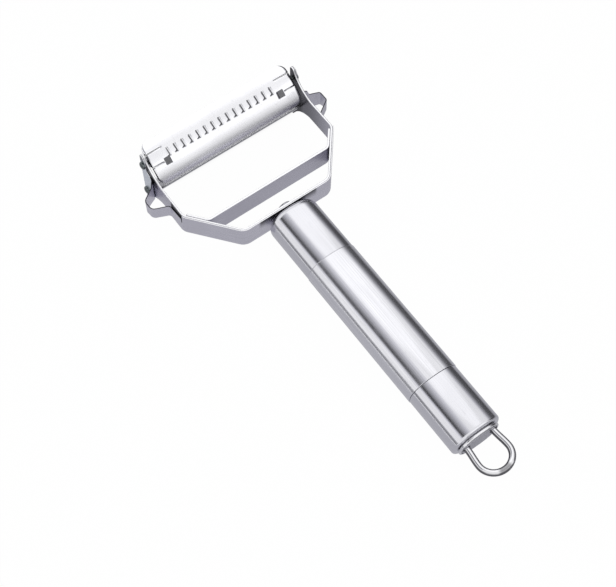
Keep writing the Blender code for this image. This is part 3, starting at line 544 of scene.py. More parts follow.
@dataclass(frozen=True)
class Steel:
    """A stainless steel finish with fine lines, soft clouds, a few hair scratches, and painted highlights and
    shade.

    Attributes:
        name: name of the material.
        slot: material slot of the record; not used.
        colour: colour of the steel.
        roughness: how rough it is on average.
        turning: which way the fine lines run.
        line_shade: how much darker the lines are.
        line_depth: how deep they are, in metres.
        cloud_shade: how much darker the clouds are.
        cloud_size: scale of the clouds along x, y and z.
        flow_size: scale of the lines where there is no UV map.
        scratch_size: scale of the scratches.
        details: how fine the noise of clouds, lines and scratches is.
        cloud_range: noise values between which a cloud sets in.
        line_range: the same for a line.
        scratch_range: the same for a scratch.
        scratch_share: how plain the scratches are.
        scratch_shade: how much darker they are.
        scratch_depth: how deep they are beside the lines.
        rough_steps: how much rougher clouds, lines and scratches are.
        rough_mean: what the three add on average.
        masked_colour: colour where the points' mask is 1: a painted highlight, on the strips' cut edges
            together with their polish.
        dark_colour: colour where the points' mask is -1: mostly painted shade, and a painted highlight on a
            blade's near rim.
        zones: ranges of places painted with shade and with reflections, which leave the masked points alone.
        has_map: whether the piece has a UV map.
    """

    name: str
    slot: str
    colour: Triple
    roughness: float
    turning: Turning = Turning.ALONG
    line_shade: float = 0.06
    line_depth: float = 0.000002
    cloud_shade: float = 0.05
    cloud_size: Triple = (60.0, 25.0, 60.0)
    flow_size: Triple = (2400.0, 60.0, 2400.0)
    scratch_size: Triple = (900.0, 140.0, 900.0)
    details: Triple = (3.0, 2.0, 1.0)
    cloud_range: Pair = (0.35, 0.70)
    line_range: Pair = (0.30, 0.70)
    scratch_range: Pair = (0.68, 0.74)
    scratch_share: float = 0.12
    scratch_shade: float = 0.28
    scratch_depth: float = 0.4
    rough_steps: Triple = (0.05, 0.05, 0.06)
    rough_mean: float = 0.04
    masked_colour: Triple | None = None
    dark_colour: Triple | None = None
    zones: tuple[PaintedZone, ...] = ()
    has_map: bool = True

    def material(self, tool: Tool) -> bpy.types.Material:
        """Build the node material.

        Args:
            tool: says how the tool lies.

        Returns:
            The material.
        """
        paint = Paint(self.name)
        cloud_detail, line_detail, scratch_detail = self.details
        clouds = paint.noise(paint.place(tool, *self.cloud_size), cloud_detail).above(*self.cloud_range)
        flow = paint.lines(self.turning.value) if self.has_map else paint.place(tool, *self.flow_size)
        grooves = paint.noise(flow, line_detail)
        lined = grooves.above(*self.line_range)
        worn_spots = paint.noise(paint.place(tool, *self.scratch_size), scratch_detail)
        scratches = worn_spots.above(*self.scratch_range)
        shade = paint.blend(clouds, self.colour, scaled(self.colour, 1.0 - self.cloud_shade))
        # The points' mask paints highlights and shade: masked_colour where it is 1, dark_colour where it is
        # -1.
        for colour, sign in ((self.masked_colour, 1.0), (self.dark_colour, -1.0)):
            if colour is not None:
                shade = paint.blend(paint.mask() * sign, shade, colour)
        # Each zone paints shade or a reflection over the steel, away from the masked points.
        for zone in self.zones:
            shade = paint.blend(zone.cover(paint, tool) * (1 - abs(paint.mask())), shade, zone.colour)
        lines_dark = paint.blend(lined, (1.0, 1.0, 1.0), (1.0 - self.line_shade,) * 3)
        shade = paint.blend(1.0, shade, lines_dark, "MULTIPLY")
        worn = scaled(self.colour, 1.0 - self.scratch_shade)
        shade = paint.blend(scratches * self.scratch_share, shade, worn)
        cloud_rough, line_rough, scratch_rough = self.rough_steps
        rough = clouds * cloud_rough + lined * line_rough + scratches * scratch_rough
        paint.dress(Metallic=1.0, Base_Color=shade, Roughness=rough + (self.roughness - self.rough_mean),
                    Normal=paint.bump(grooves - scratches * self.scratch_depth, self.line_depth))
        return paint.made


# Strip frame


@dataclass
class StripFrame:
    """The three bent strips of the head: the band with its eye removers, the arms and the crossbar."""

    tool: Tool
    band_finish: Steel
    finish: Steel
    base_half_width: float = 0.0195
    base_bend: float = 0.0050
    shoulder_y: float = 0.0186
    shoulder_bend: float = 0.0045
    crossbar_y: float = 0.0116
    crossbar_bend: float = 0.0030
    flange_end_y: float = 0.0184
    ear_start: Pair = (0.0325, 0.0050)
    ear_knee: Pair = (0.0395, 0.0066)
    left_loop: tuple[Pair, ...] = (
        (0.03465, 0.0272), (0.0408, 0.0299), (0.0411, 0.0346), (0.03465, 0.0389))
    left_loop_bends: tuple[float, ...] = (0.0015, 0.0024, 0.0028, 0.0015)
    right_loop: tuple[Pair, ...] = (
        (0.03465, 0.0275), (0.04147, 0.0320), (0.04147, 0.0366), (0.03465, 0.0392))
    right_loop_bends: tuple[float, ...] = (0.0015, 0.0013, 0.0014, 0.0015)
    band_front: tuple[Pair, ...] = (
        (0.01900, 0.0050), (0.01910, 0.0002), (0.01940, 0.0002), (0.01955, 0.0028), (0.0240, 0.0020),
        (0.0290, 0.0012), (0.0380, 0.0012), (0.0383, 0.0036), (0.0390, 0.0043), (0.0403, 0.0051),
        (0.0416, 0.0060), (0.0421, 0.0070))
    front_tip_drop: float = 0.0008
    edge_rounding: float = 0.00022
    thin_rounding: float = 0.3
    beside_corner: float = 1.6
    corner_points: int = 5
    ear_steps: int = 60

    @property
    def slant(self) -> Array:
        """Unit vector along the right slant."""
        slant = np.array([self.tool.shoulder_half_width - self.base_half_width, self.shoulder_y])
        return slant / np.linalg.norm(slant)

    def on_slant(self, layer: float, axis: int, value: float) -> Array:
        """Return a point of the slant's face that lies a layer inside the band's outer face.

        Args:
            layer: how far inside the face is.
            axis: 0 where the value is the point's x, 1 where it is its y.
            value: the x or y.

        Returns:
            The point.
        """
        slant = self.slant
        start = np.array([self.base_half_width, 0.0]) + layer * np.array([-slant[1], slant[0]])
        return start + slant * (value - start[axis]) / slant[axis]

    def band_path(self) -> BentPath:
        """Return the band's outer face, whose eye removers are bent by hand and differ a little."""
        side = [(self.base_half_width, 0.0), (self.tool.shoulder_half_width, self.shoulder_y)]
        end = (self.tool.shoulder_half_width, self.tool.ear_end_y)
        bends = [self.base_bend, self.shoulder_bend]
        left = [(-x, y) for x, y in (end, *self.left_loop[::-1], *side[::-1])]
        return BentPath([*left, *side, *self.right_loop, end],
                        [*self.left_loop_bends[::-1], *bends[::-1], *bends, *self.right_loop_bends])

    def mirrored(self, corners: list[Array], bends: list[float]) -> BentPath:
        """Return the path that runs through the corners' mirror images and then through the corners."""
        return BentPath([corner * (-1.0, 1.0) for corner in corners[::-1]] + corners, bends[::-1] + bends)

    def arm_path(self) -> BentPath:
        """Return the arm strip's outer face."""
        layer = self.tool.arm_layer
        arm_x = self.tool.shoulder_half_width - layer
        corners = [self.on_slant(layer, 1, layer), self.on_slant(layer, 0, arm_x),
                   np.array([arm_x, self.tool.ear_end_y])]
        return self.mirrored(corners, [self.base_bend - layer, self.shoulder_bend - layer])

    def crossbar_path(self) -> BentPath:
        """Return the outer face of the crossbar and its flanges."""
        layer = self.tool.crossbar_layer
        corners = [self.on_slant(layer, 1, y) for y in (self.crossbar_y, self.flange_end_y)]
        return self.mirrored(corners, [self.crossbar_bend])

    def ear_edge(self, along: Array, drop: float = 0.0) -> Array:
        """Return how high the edge of the arm strip and its ears is.

        The edge follows a curve y = (1-s)^2*a + 2s(1-s)*k + s^2*t, the same in z, from its start a
        over the knee k to the touch point t on the round tip, and then the tip's circle.

        Args:
            along: places along Y.
            drop: how much lower than the ear's half height the round tip is.

        Returns:
            The height at each place.
        """
        tool = self.tool
        tip = np.array([tool.ear_end_y, tool.ear_half_height - drop]) - tool.ear_tip_radius
        start, knee = np.array(self.ear_start), np.array(self.ear_knee)
        touch = touching(knee, tip, tool.ear_tip_radius, 1.0)
        share = np.linspace(0.0, 1.0, self.ear_steps)[:, None]
        curve = (1 - share) ** 2 * start + 2 * share * (1 - share) * knee + share ** 2 * touch
        round_tip = tip[1] + np.sqrt(np.clip(tool.ear_tip_radius ** 2 - (along - tip[0]) ** 2, 0.0, None))
        return np.where(along > touch[0], round_tip, np.interp(along, curve[:, 0], curve[:, 1]))

    def ear_front(self, along: Array) -> Array:
        """Return how high the front edge of the arm strip and its ears is."""
        return self.ear_edge(along, self.front_tip_drop)

    def level_edge(self, along: Array) -> Array:
        """Return how high the edge of a strip without ears is."""
        return np.full_like(along, self.tool.strip_half_depth)

    def band_edge(self, along: Array) -> Array:
        """Return how high the band's front edge is: it is slit and cut down up to the end plates."""
        marks = np.array(self.band_front)
        return np.where(along > marks[-1, 0], self.ear_front(along),
                        np.interp(along, marks[:, 0], marks[:, 1]))

    def section_ring(self, thickness: float, radius: float) -> tuple[Array, Array, Array]:
        """Return the section of a strip: a rectangle whose corners are quarter circles.

        Heights are kept relative to the edges: a height of 1 - h is h below the front edge, and
        h - 1 is h above the rear one. A point beside each corner keeps the faces flat.

        Args:
            thickness: thickness of the strip.
            radius: radius of its corners.

        Returns:
            Depth from the outer face, relative height, and how much each point is on a cut edge.
        """
        angles = np.radians(np.linspace(0.0, 90.0, self.corner_points))
        beside = self.beside_corner * radius
        fall, into = radius * (1 - np.sin(angles)), radius * (1 - np.cos(angles))
        depth = np.concatenate([[0.0], into, [beside, thickness - beside], thickness - into[::-1],
                                [thickness]])
        drop = np.concatenate([[beside], fall, [0.0, 0.0], fall[::-1], [beside]])
        edge = np.concatenate([[0.0], np.sin(angles), [1.0, 1.0], np.sin(angles)[::-1], [0.0]])
        ring = [np.concatenate([near, far[::-1], near[:1]])
                for near, far in ((depth, depth), (1.0 - drop, drop - 1.0), (edge, edge))]
        return ring[0], ring[1], ring[2]

    def strip(self, node: str, finish: Steel, path: BentPath, thickness: float,
              front_edge: Callable[[Array], Array], rear_edge: Callable[[Array], Array]) -> bpy.types.Object:
        """Carry a rounded rectangular section along a strip's path, with the edges each place has.

        Args:
            node: name of the node that the strip stands for.
            finish: its finish.
            path: its outer face, seen from the front.
            thickness: thickness of the sheet.
            front_edge: height of the front edge at places along Y.
            rear_edge: depth of the rear edge at places along Y.

        Returns:
            The piece.
        """
        points, lefts = path.trace()
        along = points[:, 1] + 0.5 * thickness * lefts[:, 1]
        front, rear = front_edge(along), -rear_edge(along)
        rounding = min(self.edge_rounding, self.thin_rounding * thickness)
        run = run_lengths(points)
        near_end = np.clip(rounding - np.minimum(run, run[-1] - run), 0.0, rounding)
        shrink = rounding - np.sqrt(np.clip(rounding ** 2 - near_end ** 2, 0.0, None))
        depth, height, edge = self.section_ring(thickness, rounding)
        thick = depth[None, :] + np.sign(0.5 * thickness - depth)[None, :] * shrink[:, None]
        top, bottom = (front - shrink)[:, None], (rear + shrink)[:, None]
        level = np.where(height[None, :] > 0, top + (height - 1.0)[None, :], bottom + (height + 1.0)[None, :])
        ribbon = stacked(points[:, :1] + thick * lefts[:, :1], points[:, 1:] + thick * lefts[:, 1:], level)
        # Where the strip is cut down its front edge gets mask -1 and is painted dark as shade; the other cut
        # edges get 1, a painted highlight on their polish.
        cut_down = (front < self.tool.strip_half_depth)[:, None] & (height > 0)[None, :]
        around = run_lengths(np.stack([depth, height * self.tool.strip_half_depth], axis=1))
        patch = capped(ribbon, around, run, edge[None, :] * np.where(cut_down, -1.0, 1.0))
        return stand_in(node, [patch], self.tool, [finish.material(self.tool)])

    def build(self) -> list[bpy.types.Object]:
        """Build the three strips and return them."""
        tool, level = self.tool, self.level_edge
        return [self.strip("outer_frame_band", self.band_finish, self.band_path(), tool.band_thickness,
                           self.band_edge, self.ear_edge),
                self.strip("arm_strip", self.finish, self.arm_path(), tool.arm_thickness,
                           self.ear_front, self.ear_edge),
                self.strip("crossbar_strip", self.finish, self.crossbar_path(), tool.crossbar_thickness,
                           level, level)]


# Blades


@dataclass
class SwingBlade:
    """One arched blade that swings on two pins, with its cuts, tongues and lugs.

    Its own places are x along the blade, u across it from the pivot towards the far edge, and h up.
    """

    tool: Tool
    finishes: tuple[Steel, Steel, Steel]
    name: str
    body: Body
    edge: Edge
    tilt: float
    level: float
    half_length: float = 0.0325
    near_width: float = 0.0100
    far_width: float = 0.0070
    rise: float = 0.0023
    thickness: float = 0.0006
    corner: float = 0.0030
    skin_above_pivot: float = 0.0018
    tongue_width: float = 0.0055
    tongue_length: float = 0.0069
    tongue_drop: float = 0.00025
    slit_width: float = 0.00028
    lug_half_width: float = 0.0021
    lug_hole: float = 0.0010
    hole_from_end: float = 0.0056
    hole_width: float = 0.0024
    hole_near: float = -0.0044
    hole_far: float = -0.0015
    hole_to_slit: float = 0.0004
    slot_from_end: float = 0.0065
    ramp_from_slot_end: float = 0.0020
    ramp_fall: float = 0.0014
    ramp_lap: float = 0.0003
    lip_rise: float = 0.00015
    finger_cuts: int = 15
    row_from_left_hole: float = 0.0001
    row_to_right_hole: float = 0.0022
    cut_width: float = 0.0004
    cut_top: float = 0.0016
    cut_length: float = 0.0034
    foot_length: float = 0.0006
    foot_width: float = 0.0004
    finger_rise: float = 0.00020
    # Band along the near edge of the blade with the slot: painted shade on its top face, painted highlight on
    # its rim.
    near_paint_width: float = 0.0016
    near_paint_soft: float = 0.0004
    # Band along the far edge and corners, where the rim and the inside are painted with a highlight.
    shine_width: float = 0.0006
    shine_soft: float = 0.0008
    edge_soft: float = 0.0005
    lip_ease: float = 0.0020
    lip_width: float = 0.0022
    play: float = 0.00003
    column_step: float = 0.0011
    row_step: float = 0.0006
    corner_points: int = 13
    ramp_points: int = 12
    lug_steps: int = 48
    lug_rings: int = 4

    @property
    def cut_lefts(self) -> Array:
        """Left side of each finger cut."""
        hole_inner = self.half_length - self.hole_from_end - self.hole_width
        return np.linspace(self.row_from_left_hole - hole_inner, hole_inner - self.row_to_right_hole,
                           self.finger_cuts)

    def skin(self, across: Array) -> Array:
        """Return the height of the outer face: a circle's arc over the chord, measured from the pivot."""
        half_chord = (self.near_width + self.far_width) / 2
        middle = (self.far_width - self.near_width) / 2
        radius = (half_chord ** 2 + self.rise ** 2) / (2 * self.rise)
        return (np.sqrt(radius ** 2 - (across - middle) ** 2) - math.sqrt(radius ** 2 - middle ** 2)
                + self.skin_above_pivot)

    def swung(self, x: Array, across: Array, height: Array) -> Array:
        """Turn the blade's own places by its tilt and move them to the pivot.

        Args:
            x: places along the blade.
            across: places across it.
            height: heights above the pivot.

        Returns:
            Places in the tool's own frame; a blade on the rear side is also turned over.
        """
        cosine, sine = math.cos(self.tilt), math.sin(self.tilt)
        return stacked(self.level * x, self.tool.pivot_y + across * cosine - height * sine,
                       self.level * (self.tool.pivot_z + across * sine + height * cosine))

    def windows(self) -> list[tuple[float, float, float, float]]:
        """Return the rectangles that are cut out, as low x, low u, high x, high u."""
        half = self.half_length
        hole_outer = half - self.hole_from_end
        middle, edge = self.tongue_width / 2, self.slit_width / 2
        slits = ((-middle, hole_outer + self.hole_to_slit), (middle, half - self.tongue_length))
        found = []
        for side in (-1.0, 1.0):
            for row, start in slits:
                low, high = sorted((side * start, side * (half + edge)))
                found.append((low, row - edge, high, row + edge))
        if self.edge is Edge.SLOT:
            end = half - self.slot_from_end
            return found + [(-end, self.hole_near, end, self.hole_far)]
        for side in (-1.0, 1.0):
            low, high = sorted((side * hole_outer, side * (hole_outer - self.hole_width)))
            found.append((low, self.hole_near, high, self.hole_far))
        bottom = self.cut_top - self.cut_length
        for left in self.cut_lefts:
            found.append((left, bottom, left + self.cut_width, self.cut_top))
            found.append((left - self.foot_length, bottom, left, bottom + self.foot_width))
        return found

    def relief(self, x: Array, across: Array) -> Array:
        """Return how far the sheet is pressed up or down at each place.

        The tongues fall evenly to their ends. On the blade with fingers the corner left of each cut
        rises evenly towards the cut and its foot. On the other the lip past the slot is raised.

        Args:
            x: places along the blade.
            across: places across it.

        Returns:
            The change of height.
        """
        inner = self.half_length - self.hole_from_end + self.hole_to_slit
        on_tongue = np.abs(across) < (self.tongue_width - self.slit_width) / 2 + self.play
        share = np.clip((np.abs(x) - inner) / (self.half_length - inner), 0.0, 1.0)
        relief = -self.tongue_drop * share * on_tongue
        if self.edge is Edge.SLOT:
            inside = smoothstep((self.half_length - self.slot_from_end - np.abs(x)) / self.lip_ease)
            behind = 1.0 - smoothstep((across - self.hole_far) / self.lip_width)
            return relief + self.lip_rise * inside * behind * (across > self.hole_far - self.play)
        bottom = self.cut_top - self.cut_length + self.foot_width
        window = np.clip((self.cut_top - across) / (self.cut_top - bottom), 0.0, 1.0)
        window = window * (across > bottom - self.play)
        before = self.cut_lefts[:, None, None] - x[None]
        near = np.where((before > -TINY) & (before < self.foot_length), 1.0 - before / self.foot_length, 0.0)
        return relief + self.finger_rise * window * near.max(axis=0)

    def plate(self) -> list[Patch]:
        """Return the arched sheet, and the ramp below the lip if there is a slot.

        The sheet is a grid whose lines run along every cut, with the faces inside the cuts left out.
        Near a corner the columns draw in by sqrt(r^2 - d^2) / r, which rounds the corner.
        """
        half, corner = self.half_length, self.corner
        windows = self.windows()
        arc = corner * (1 - np.cos(np.radians(np.linspace(0.0, 90.0, self.corner_points))))
        columns = [side * place for side in (-1, 1) for place in (half, half - corner)]
        rows = [*(arc - self.near_width), *(self.far_width - arc), 0.0]
        for low_x, low_u, high_x, high_u in windows:
            columns += [max(low_x, -half), min(high_x, half)]
            rows += [low_u, high_u]
        ramp_end = half - self.slot_from_end - self.ramp_from_slot_end
        if self.edge is Edge.SLOT:
            columns += [-ramp_end, ramp_end]
        x, across = np.meshgrid(refined(columns, self.column_step), refined(rows, self.row_step))
        middle_x, middle_u = ((line[:-1, :-1] + line[1:, 1:]) / 2 for line in (x, across))
        kept = np.ones(middle_x.shape, bool)
        for low_x, low_u, high_x, high_u in windows:
            kept &= ~((middle_x > low_x) & (middle_x < high_x) & (middle_u > low_u) & (middle_u < high_u))
        from_edge = np.minimum(across + self.near_width, self.far_width - across)
        drawn = np.sqrt(np.clip(1.0 - (1.0 - np.clip(from_edge / corner, 0.0, 1.0)) ** 2, 0.0, None))
        past = np.clip(np.abs(x) - (half - corner), 0.0, None)
        round_x = x - np.sign(x) * past * (1.0 - drawn)
        points = self.swung(round_x, across, self.skin(across) + self.relief(x, across))
        patches = [Patch(points, x[0], across[:, 0], kept, self.shine(x, across))]
        if self.edge is Edge.SLOT:
            columns_kept = x[0][np.abs(x[0]) <= ramp_end + TINY]
            run = np.linspace(self.hole_near, self.hole_far + self.ramp_lap, self.ramp_points)[:, None]
            share = (run - run[0]) / (run[-1] - run[0])
            ramp = self.swung(columns_kept[None, :], run, self.skin(run) - self.ramp_fall * smoothstep(share))
            patches.append(Patch(ramp, columns_kept, run[:, 0]))
        return patches

    def shine(self, x: Array, across: Array) -> Array:
        """Return the mask: 1 at the far edge and corners, painted as highlight; -1 at the slotted blade's
        near edge, painted as shade on top and as highlight on the rim.

        Args:
            x: places along the blade.
            across: places across it.

        Returns:
            The mask at each place.
        """
        from_near, from_far = across + self.near_width, self.far_width - across
        far = 1.0 - smoothstep((from_far - self.shine_width) / self.shine_soft)
        corner = smoothstep((np.abs(x) - self.half_length + self.corner + self.edge_soft) / self.edge_soft)
        corner = corner * (1.0 - smoothstep((from_far - self.corner) / self.edge_soft))
        near_paint = 1.0 - smoothstep((from_near - self.near_paint_width) / self.near_paint_soft)
        return np.clip(far + corner, 0.0, 1.0) - near_paint * (self.edge is Edge.SLOT)

    def lugs(self) -> list[Patch]:
        """Return the two lugs bent down at the tongues' ends, as rings around the pivot.

        Their outer edge is a half circle below the pivot, and above it the rectangle that meets the
        sheet: min(w / |cos|, t / sin) along each direction.
        """
        turn = np.linspace(0.0, 2 * math.pi, self.lug_steps + 1)
        top = self.skin_above_pivot - self.tongue_drop - self.thickness / 2
        box = np.minimum(self.lug_half_width / np.maximum(np.abs(np.cos(turn)), TINY),
                         top / np.maximum(np.sin(turn), TINY))
        reach = np.where(np.sin(turn) > 0, box, self.lug_half_width)
        share = np.linspace(0.0, 1.0, self.lug_rings)[:, None]
        radius = self.lug_hole + share * (reach - self.lug_hole)
        patches = []
        for side in (-1, 1):
            spread, angle = radius[:, ::-side], turn[::-side]
            points = self.swung(np.full_like(spread, side * self.half_length), spread * np.cos(angle),
                                spread * np.sin(angle))
            patches.append(Patch(points, angle * self.lug_half_width, share[:, 0] * self.lug_half_width))
        return patches

    def build(self) -> list[bpy.types.Object]:
        """Build the blade and return it; its rim and its inside take the second and third finish, darker
        copies of its steel painted as shade.
        """
        paints = [finish.material(self.tool) for finish in self.finishes]
        piece = stand_in(self.name, self.plate() + self.lugs(), self.tool, paints,
                         self.body, solid=False)
        wall = piece.modifiers.new("wall", "SOLIDIFY")
        wall.thickness, wall.offset, wall.use_even_offset = self.thickness, -1.0, True
        wall.material_offset_rim, wall.material_offset = 1, 2
        return [piece]


# Turned and lofted pieces


def revolved(radius: Array, height: Array, centre: Array, axis: float, steps: int = 48) -> Patch:
    """Turn a profile about a line along X.

    Args:
        radius: distance of each profile point from the line.
        height: place of each profile point along the line, outward.
        centre: where height is zero.
        axis: 1 where outward is +X, -1 where it is -X.
        steps: number of faces around.

    Returns:
        The grid.
    """
    angle = np.linspace(0.0, 2 * math.pi, steps + 1)[None, :]
    points = centre + stacked(axis * height[:, None], radius[:, None] * np.cos(angle),
                              radius[:, None] * np.sin(angle))
    return Patch(points, angle[0] * radius.max(), run_lengths(np.stack([radius, height], axis=1)))


@dataclass
class Rivets:
    """The four pins that the blades swing on, with domed heads outside the ears."""

    tool: Tool
    finish: Steel
    blade_half_length: float
    shaft_radius: float = 0.0008
    head_radius: float = 0.0016
    head_height: float = 0.0011
    rim_height: float = 0.00030
    reach_inside: float = 0.0013
    tail_rounding: float = 0.0002
    dome_points: int = 12

    def build(self) -> list[bpy.types.Object]:
        """Build the pins and return them."""
        tool = self.tool
        head_x = tool.shoulder_half_width + tool.lap
        length = head_x - self.blade_half_length + self.reach_inside
        angle = np.radians(np.linspace(0.0, 90.0, self.dome_points))
        radius = np.concatenate([self.head_radius * np.sin(angle), [self.head_radius, self.shaft_radius],
                                 self.shaft_radius * np.cos(angle)])
        height = np.concatenate([self.rim_height + (self.head_height - self.rim_height) * np.cos(angle),
                                 [0.0, 0.0], -length - self.tail_rounding * np.sin(angle)])
        paints, made = [self.finish.material(tool)], []
        for blade, level in (("julienne", 1.0), ("peeling", -1.0)):
            for word, side in (("left", -1.0), ("right", 1.0)):
                centre = np.array([side * head_x, tool.pivot_y, level * tool.pivot_z])
                made.append(stand_in(f"{blade}_pivot_pin_{word}", [revolved(radius, height, centre, side)],
                                     tool, paints))
        return made


@dataclass(frozen=True)
class Oval:
    """The handle's section: |x/a|^p + |z/b|^p = 1."""

    half_width: float
    half_height: float
    power: float = 2.3
    steps: int = 160

    def rings(self, inset: Array, y: Array) -> Patch:
        """Return rings around the handle.

        Each is x = (a - i) * c^(2/p), z = (b - i) * s^(2/p) with the signs of the cosine c and sine s.

        Args:
            inset: how far inside the handle's surface each ring is.
            y: where it is along the handle.

        Returns:
            The grid through the rings.
        """
        angle = np.linspace(0.0, 2 * math.pi, self.steps + 1)
        cosine, sine = np.cos(angle), np.sin(angle)
        wide = np.sign(cosine) * np.abs(cosine) ** (2 / self.power)
        high = np.sign(sine) * np.abs(sine) ** (2 / self.power)
        points = stacked((self.half_width - inset)[:, None] * wide[None, :], y[:, None],
                         (self.half_height - inset)[:, None] * high[None, :])
        around = run_lengths(np.stack([self.half_width * wide, self.half_height * high], axis=1))
        return Patch(points, around, run_lengths(np.stack([inset, y], axis=1)))


def quarter(end: float, radius: float, direction: float, steps: int = 10) -> tuple[Array, Array]:
    """Return insets and places of a rounded end: r(1 - sin) and r(1 - cos) from the flat end inward.

    Args:
        end: place of the flat end.
        radius: its rounding.
        direction: 1 where the tube goes on towards +Y, -1 where towards -Y.
        steps: number of faces around the rounding.

    Returns:
        Insets and places.
    """
    angle = np.radians(np.linspace(0.0, 90.0, steps + 1))
    return radius * (1 - np.sin(angle)), end + direction * radius * (1 - np.cos(angle))


@dataclass
class Handle:
    """The three tubes of the handle: front, brushed grip sleeve and rear."""

    tool: Tool
    polished: Steel
    brushed: Steel
    wall: float = 0.0008
    proud: float = 0.00018
    front_y: float = -0.0005
    front_rounding: float = 0.0034
    seam_front: float = -0.0266
    seam_rear: float = -0.0856
    seam_gap: float = 0.00010
    seam_rounding: float = 0.00016
    seam_steps: int = 4
    spigot_length: float = 0.0080
    rim: float = 0.0010

    def tube(self, node: str, finish: Steel, inset: Sequence[float], y: Sequence[float]) -> bpy.types.Object:
        """Loft one closed tube.

        Args:
            node: name of the node it stands for.
            finish: its finish.
            inset: inset of each ring, around the wall's profile.
            y: place of each ring.

        Returns:
            The piece.
        """
        oval = Oval(self.tool.handle_half_width, self.tool.handle_half_height)
        patch = oval.rings(np.array([*inset, inset[0]]), np.array([*y, y[0]]))
        return stand_in(node, [patch], self.tool, [finish.material(self.tool)])

    def seam(self, face: float, direction: float, proud: float) -> tuple[list[float], list[float]]:
        """Return the rounded outer edge of a tube beside a seam, in order towards the seam."""
        inset, y = quarter(face, self.seam_rounding, direction, self.seam_steps)
        return list(inset[::-1] - proud), list(y[::-1])

    def section(self, node: str, end: float, rounding: float, step: float, seam: float,
                way: float) -> bpy.types.Object:
        """Build the front or the rear tube, whose spigot reaches into the grip sleeve.

        Args:
            node: name of the node it stands for.
            end: place of its open end.
            rounding: rounding of that end.
            step: how far behind the end its mouth widens to the bore.
            seam: place of its seam.
            way: 1 where the seam lies towards +Y from the end, -1 where towards -Y.

        Returns:
            The piece.
        """
        spigot = self.wall - self.proud + self.tool.gap
        bore, mouth = spigot + self.wall, rounding + self.rim
        face = seam - way * self.seam_gap / 2
        tip = face + way * self.spigot_length
        inset, y = quarter(end, rounding, way)
        edge_inset, edge_y = self.seam(face, -way, 0.0)
        return self.tube(node, self.polished,
                         [*inset, *edge_inset, spigot, spigot, bore, bore, mouth, mouth],
                         [*y, *edge_y, face, tip, tip, end + way * step, end + way * self.wall, end])

    def build(self) -> list[bpy.types.Object]:
        """Build the tubes and return them."""
        tool = self.tool
        made = [self.section("handle_front_section", self.front_y, self.front_rounding,
                             self.front_rounding, self.seam_front, -1.0)]
        half_gap, inside = self.seam_gap / 2, self.wall - self.proud
        front, rear = self.seam_front - half_gap, self.seam_rear + half_gap
        inset, y = self.seam(rear, 1.0, self.proud)
        ahead_inset, ahead_y = self.seam(front, -1.0, self.proud)
        made.append(self.tube("handle_grip_sleeve", self.brushed,
                              [*ahead_inset[::-1], *inset, inside, inside],
                              [*ahead_y[::-1], *y, rear, front]))
        made.append(self.section("handle_rear_section", tool.handle_rear_y, tool.rear_rounding,
                                 self.wall, self.seam_rear, 1.0))
        return made


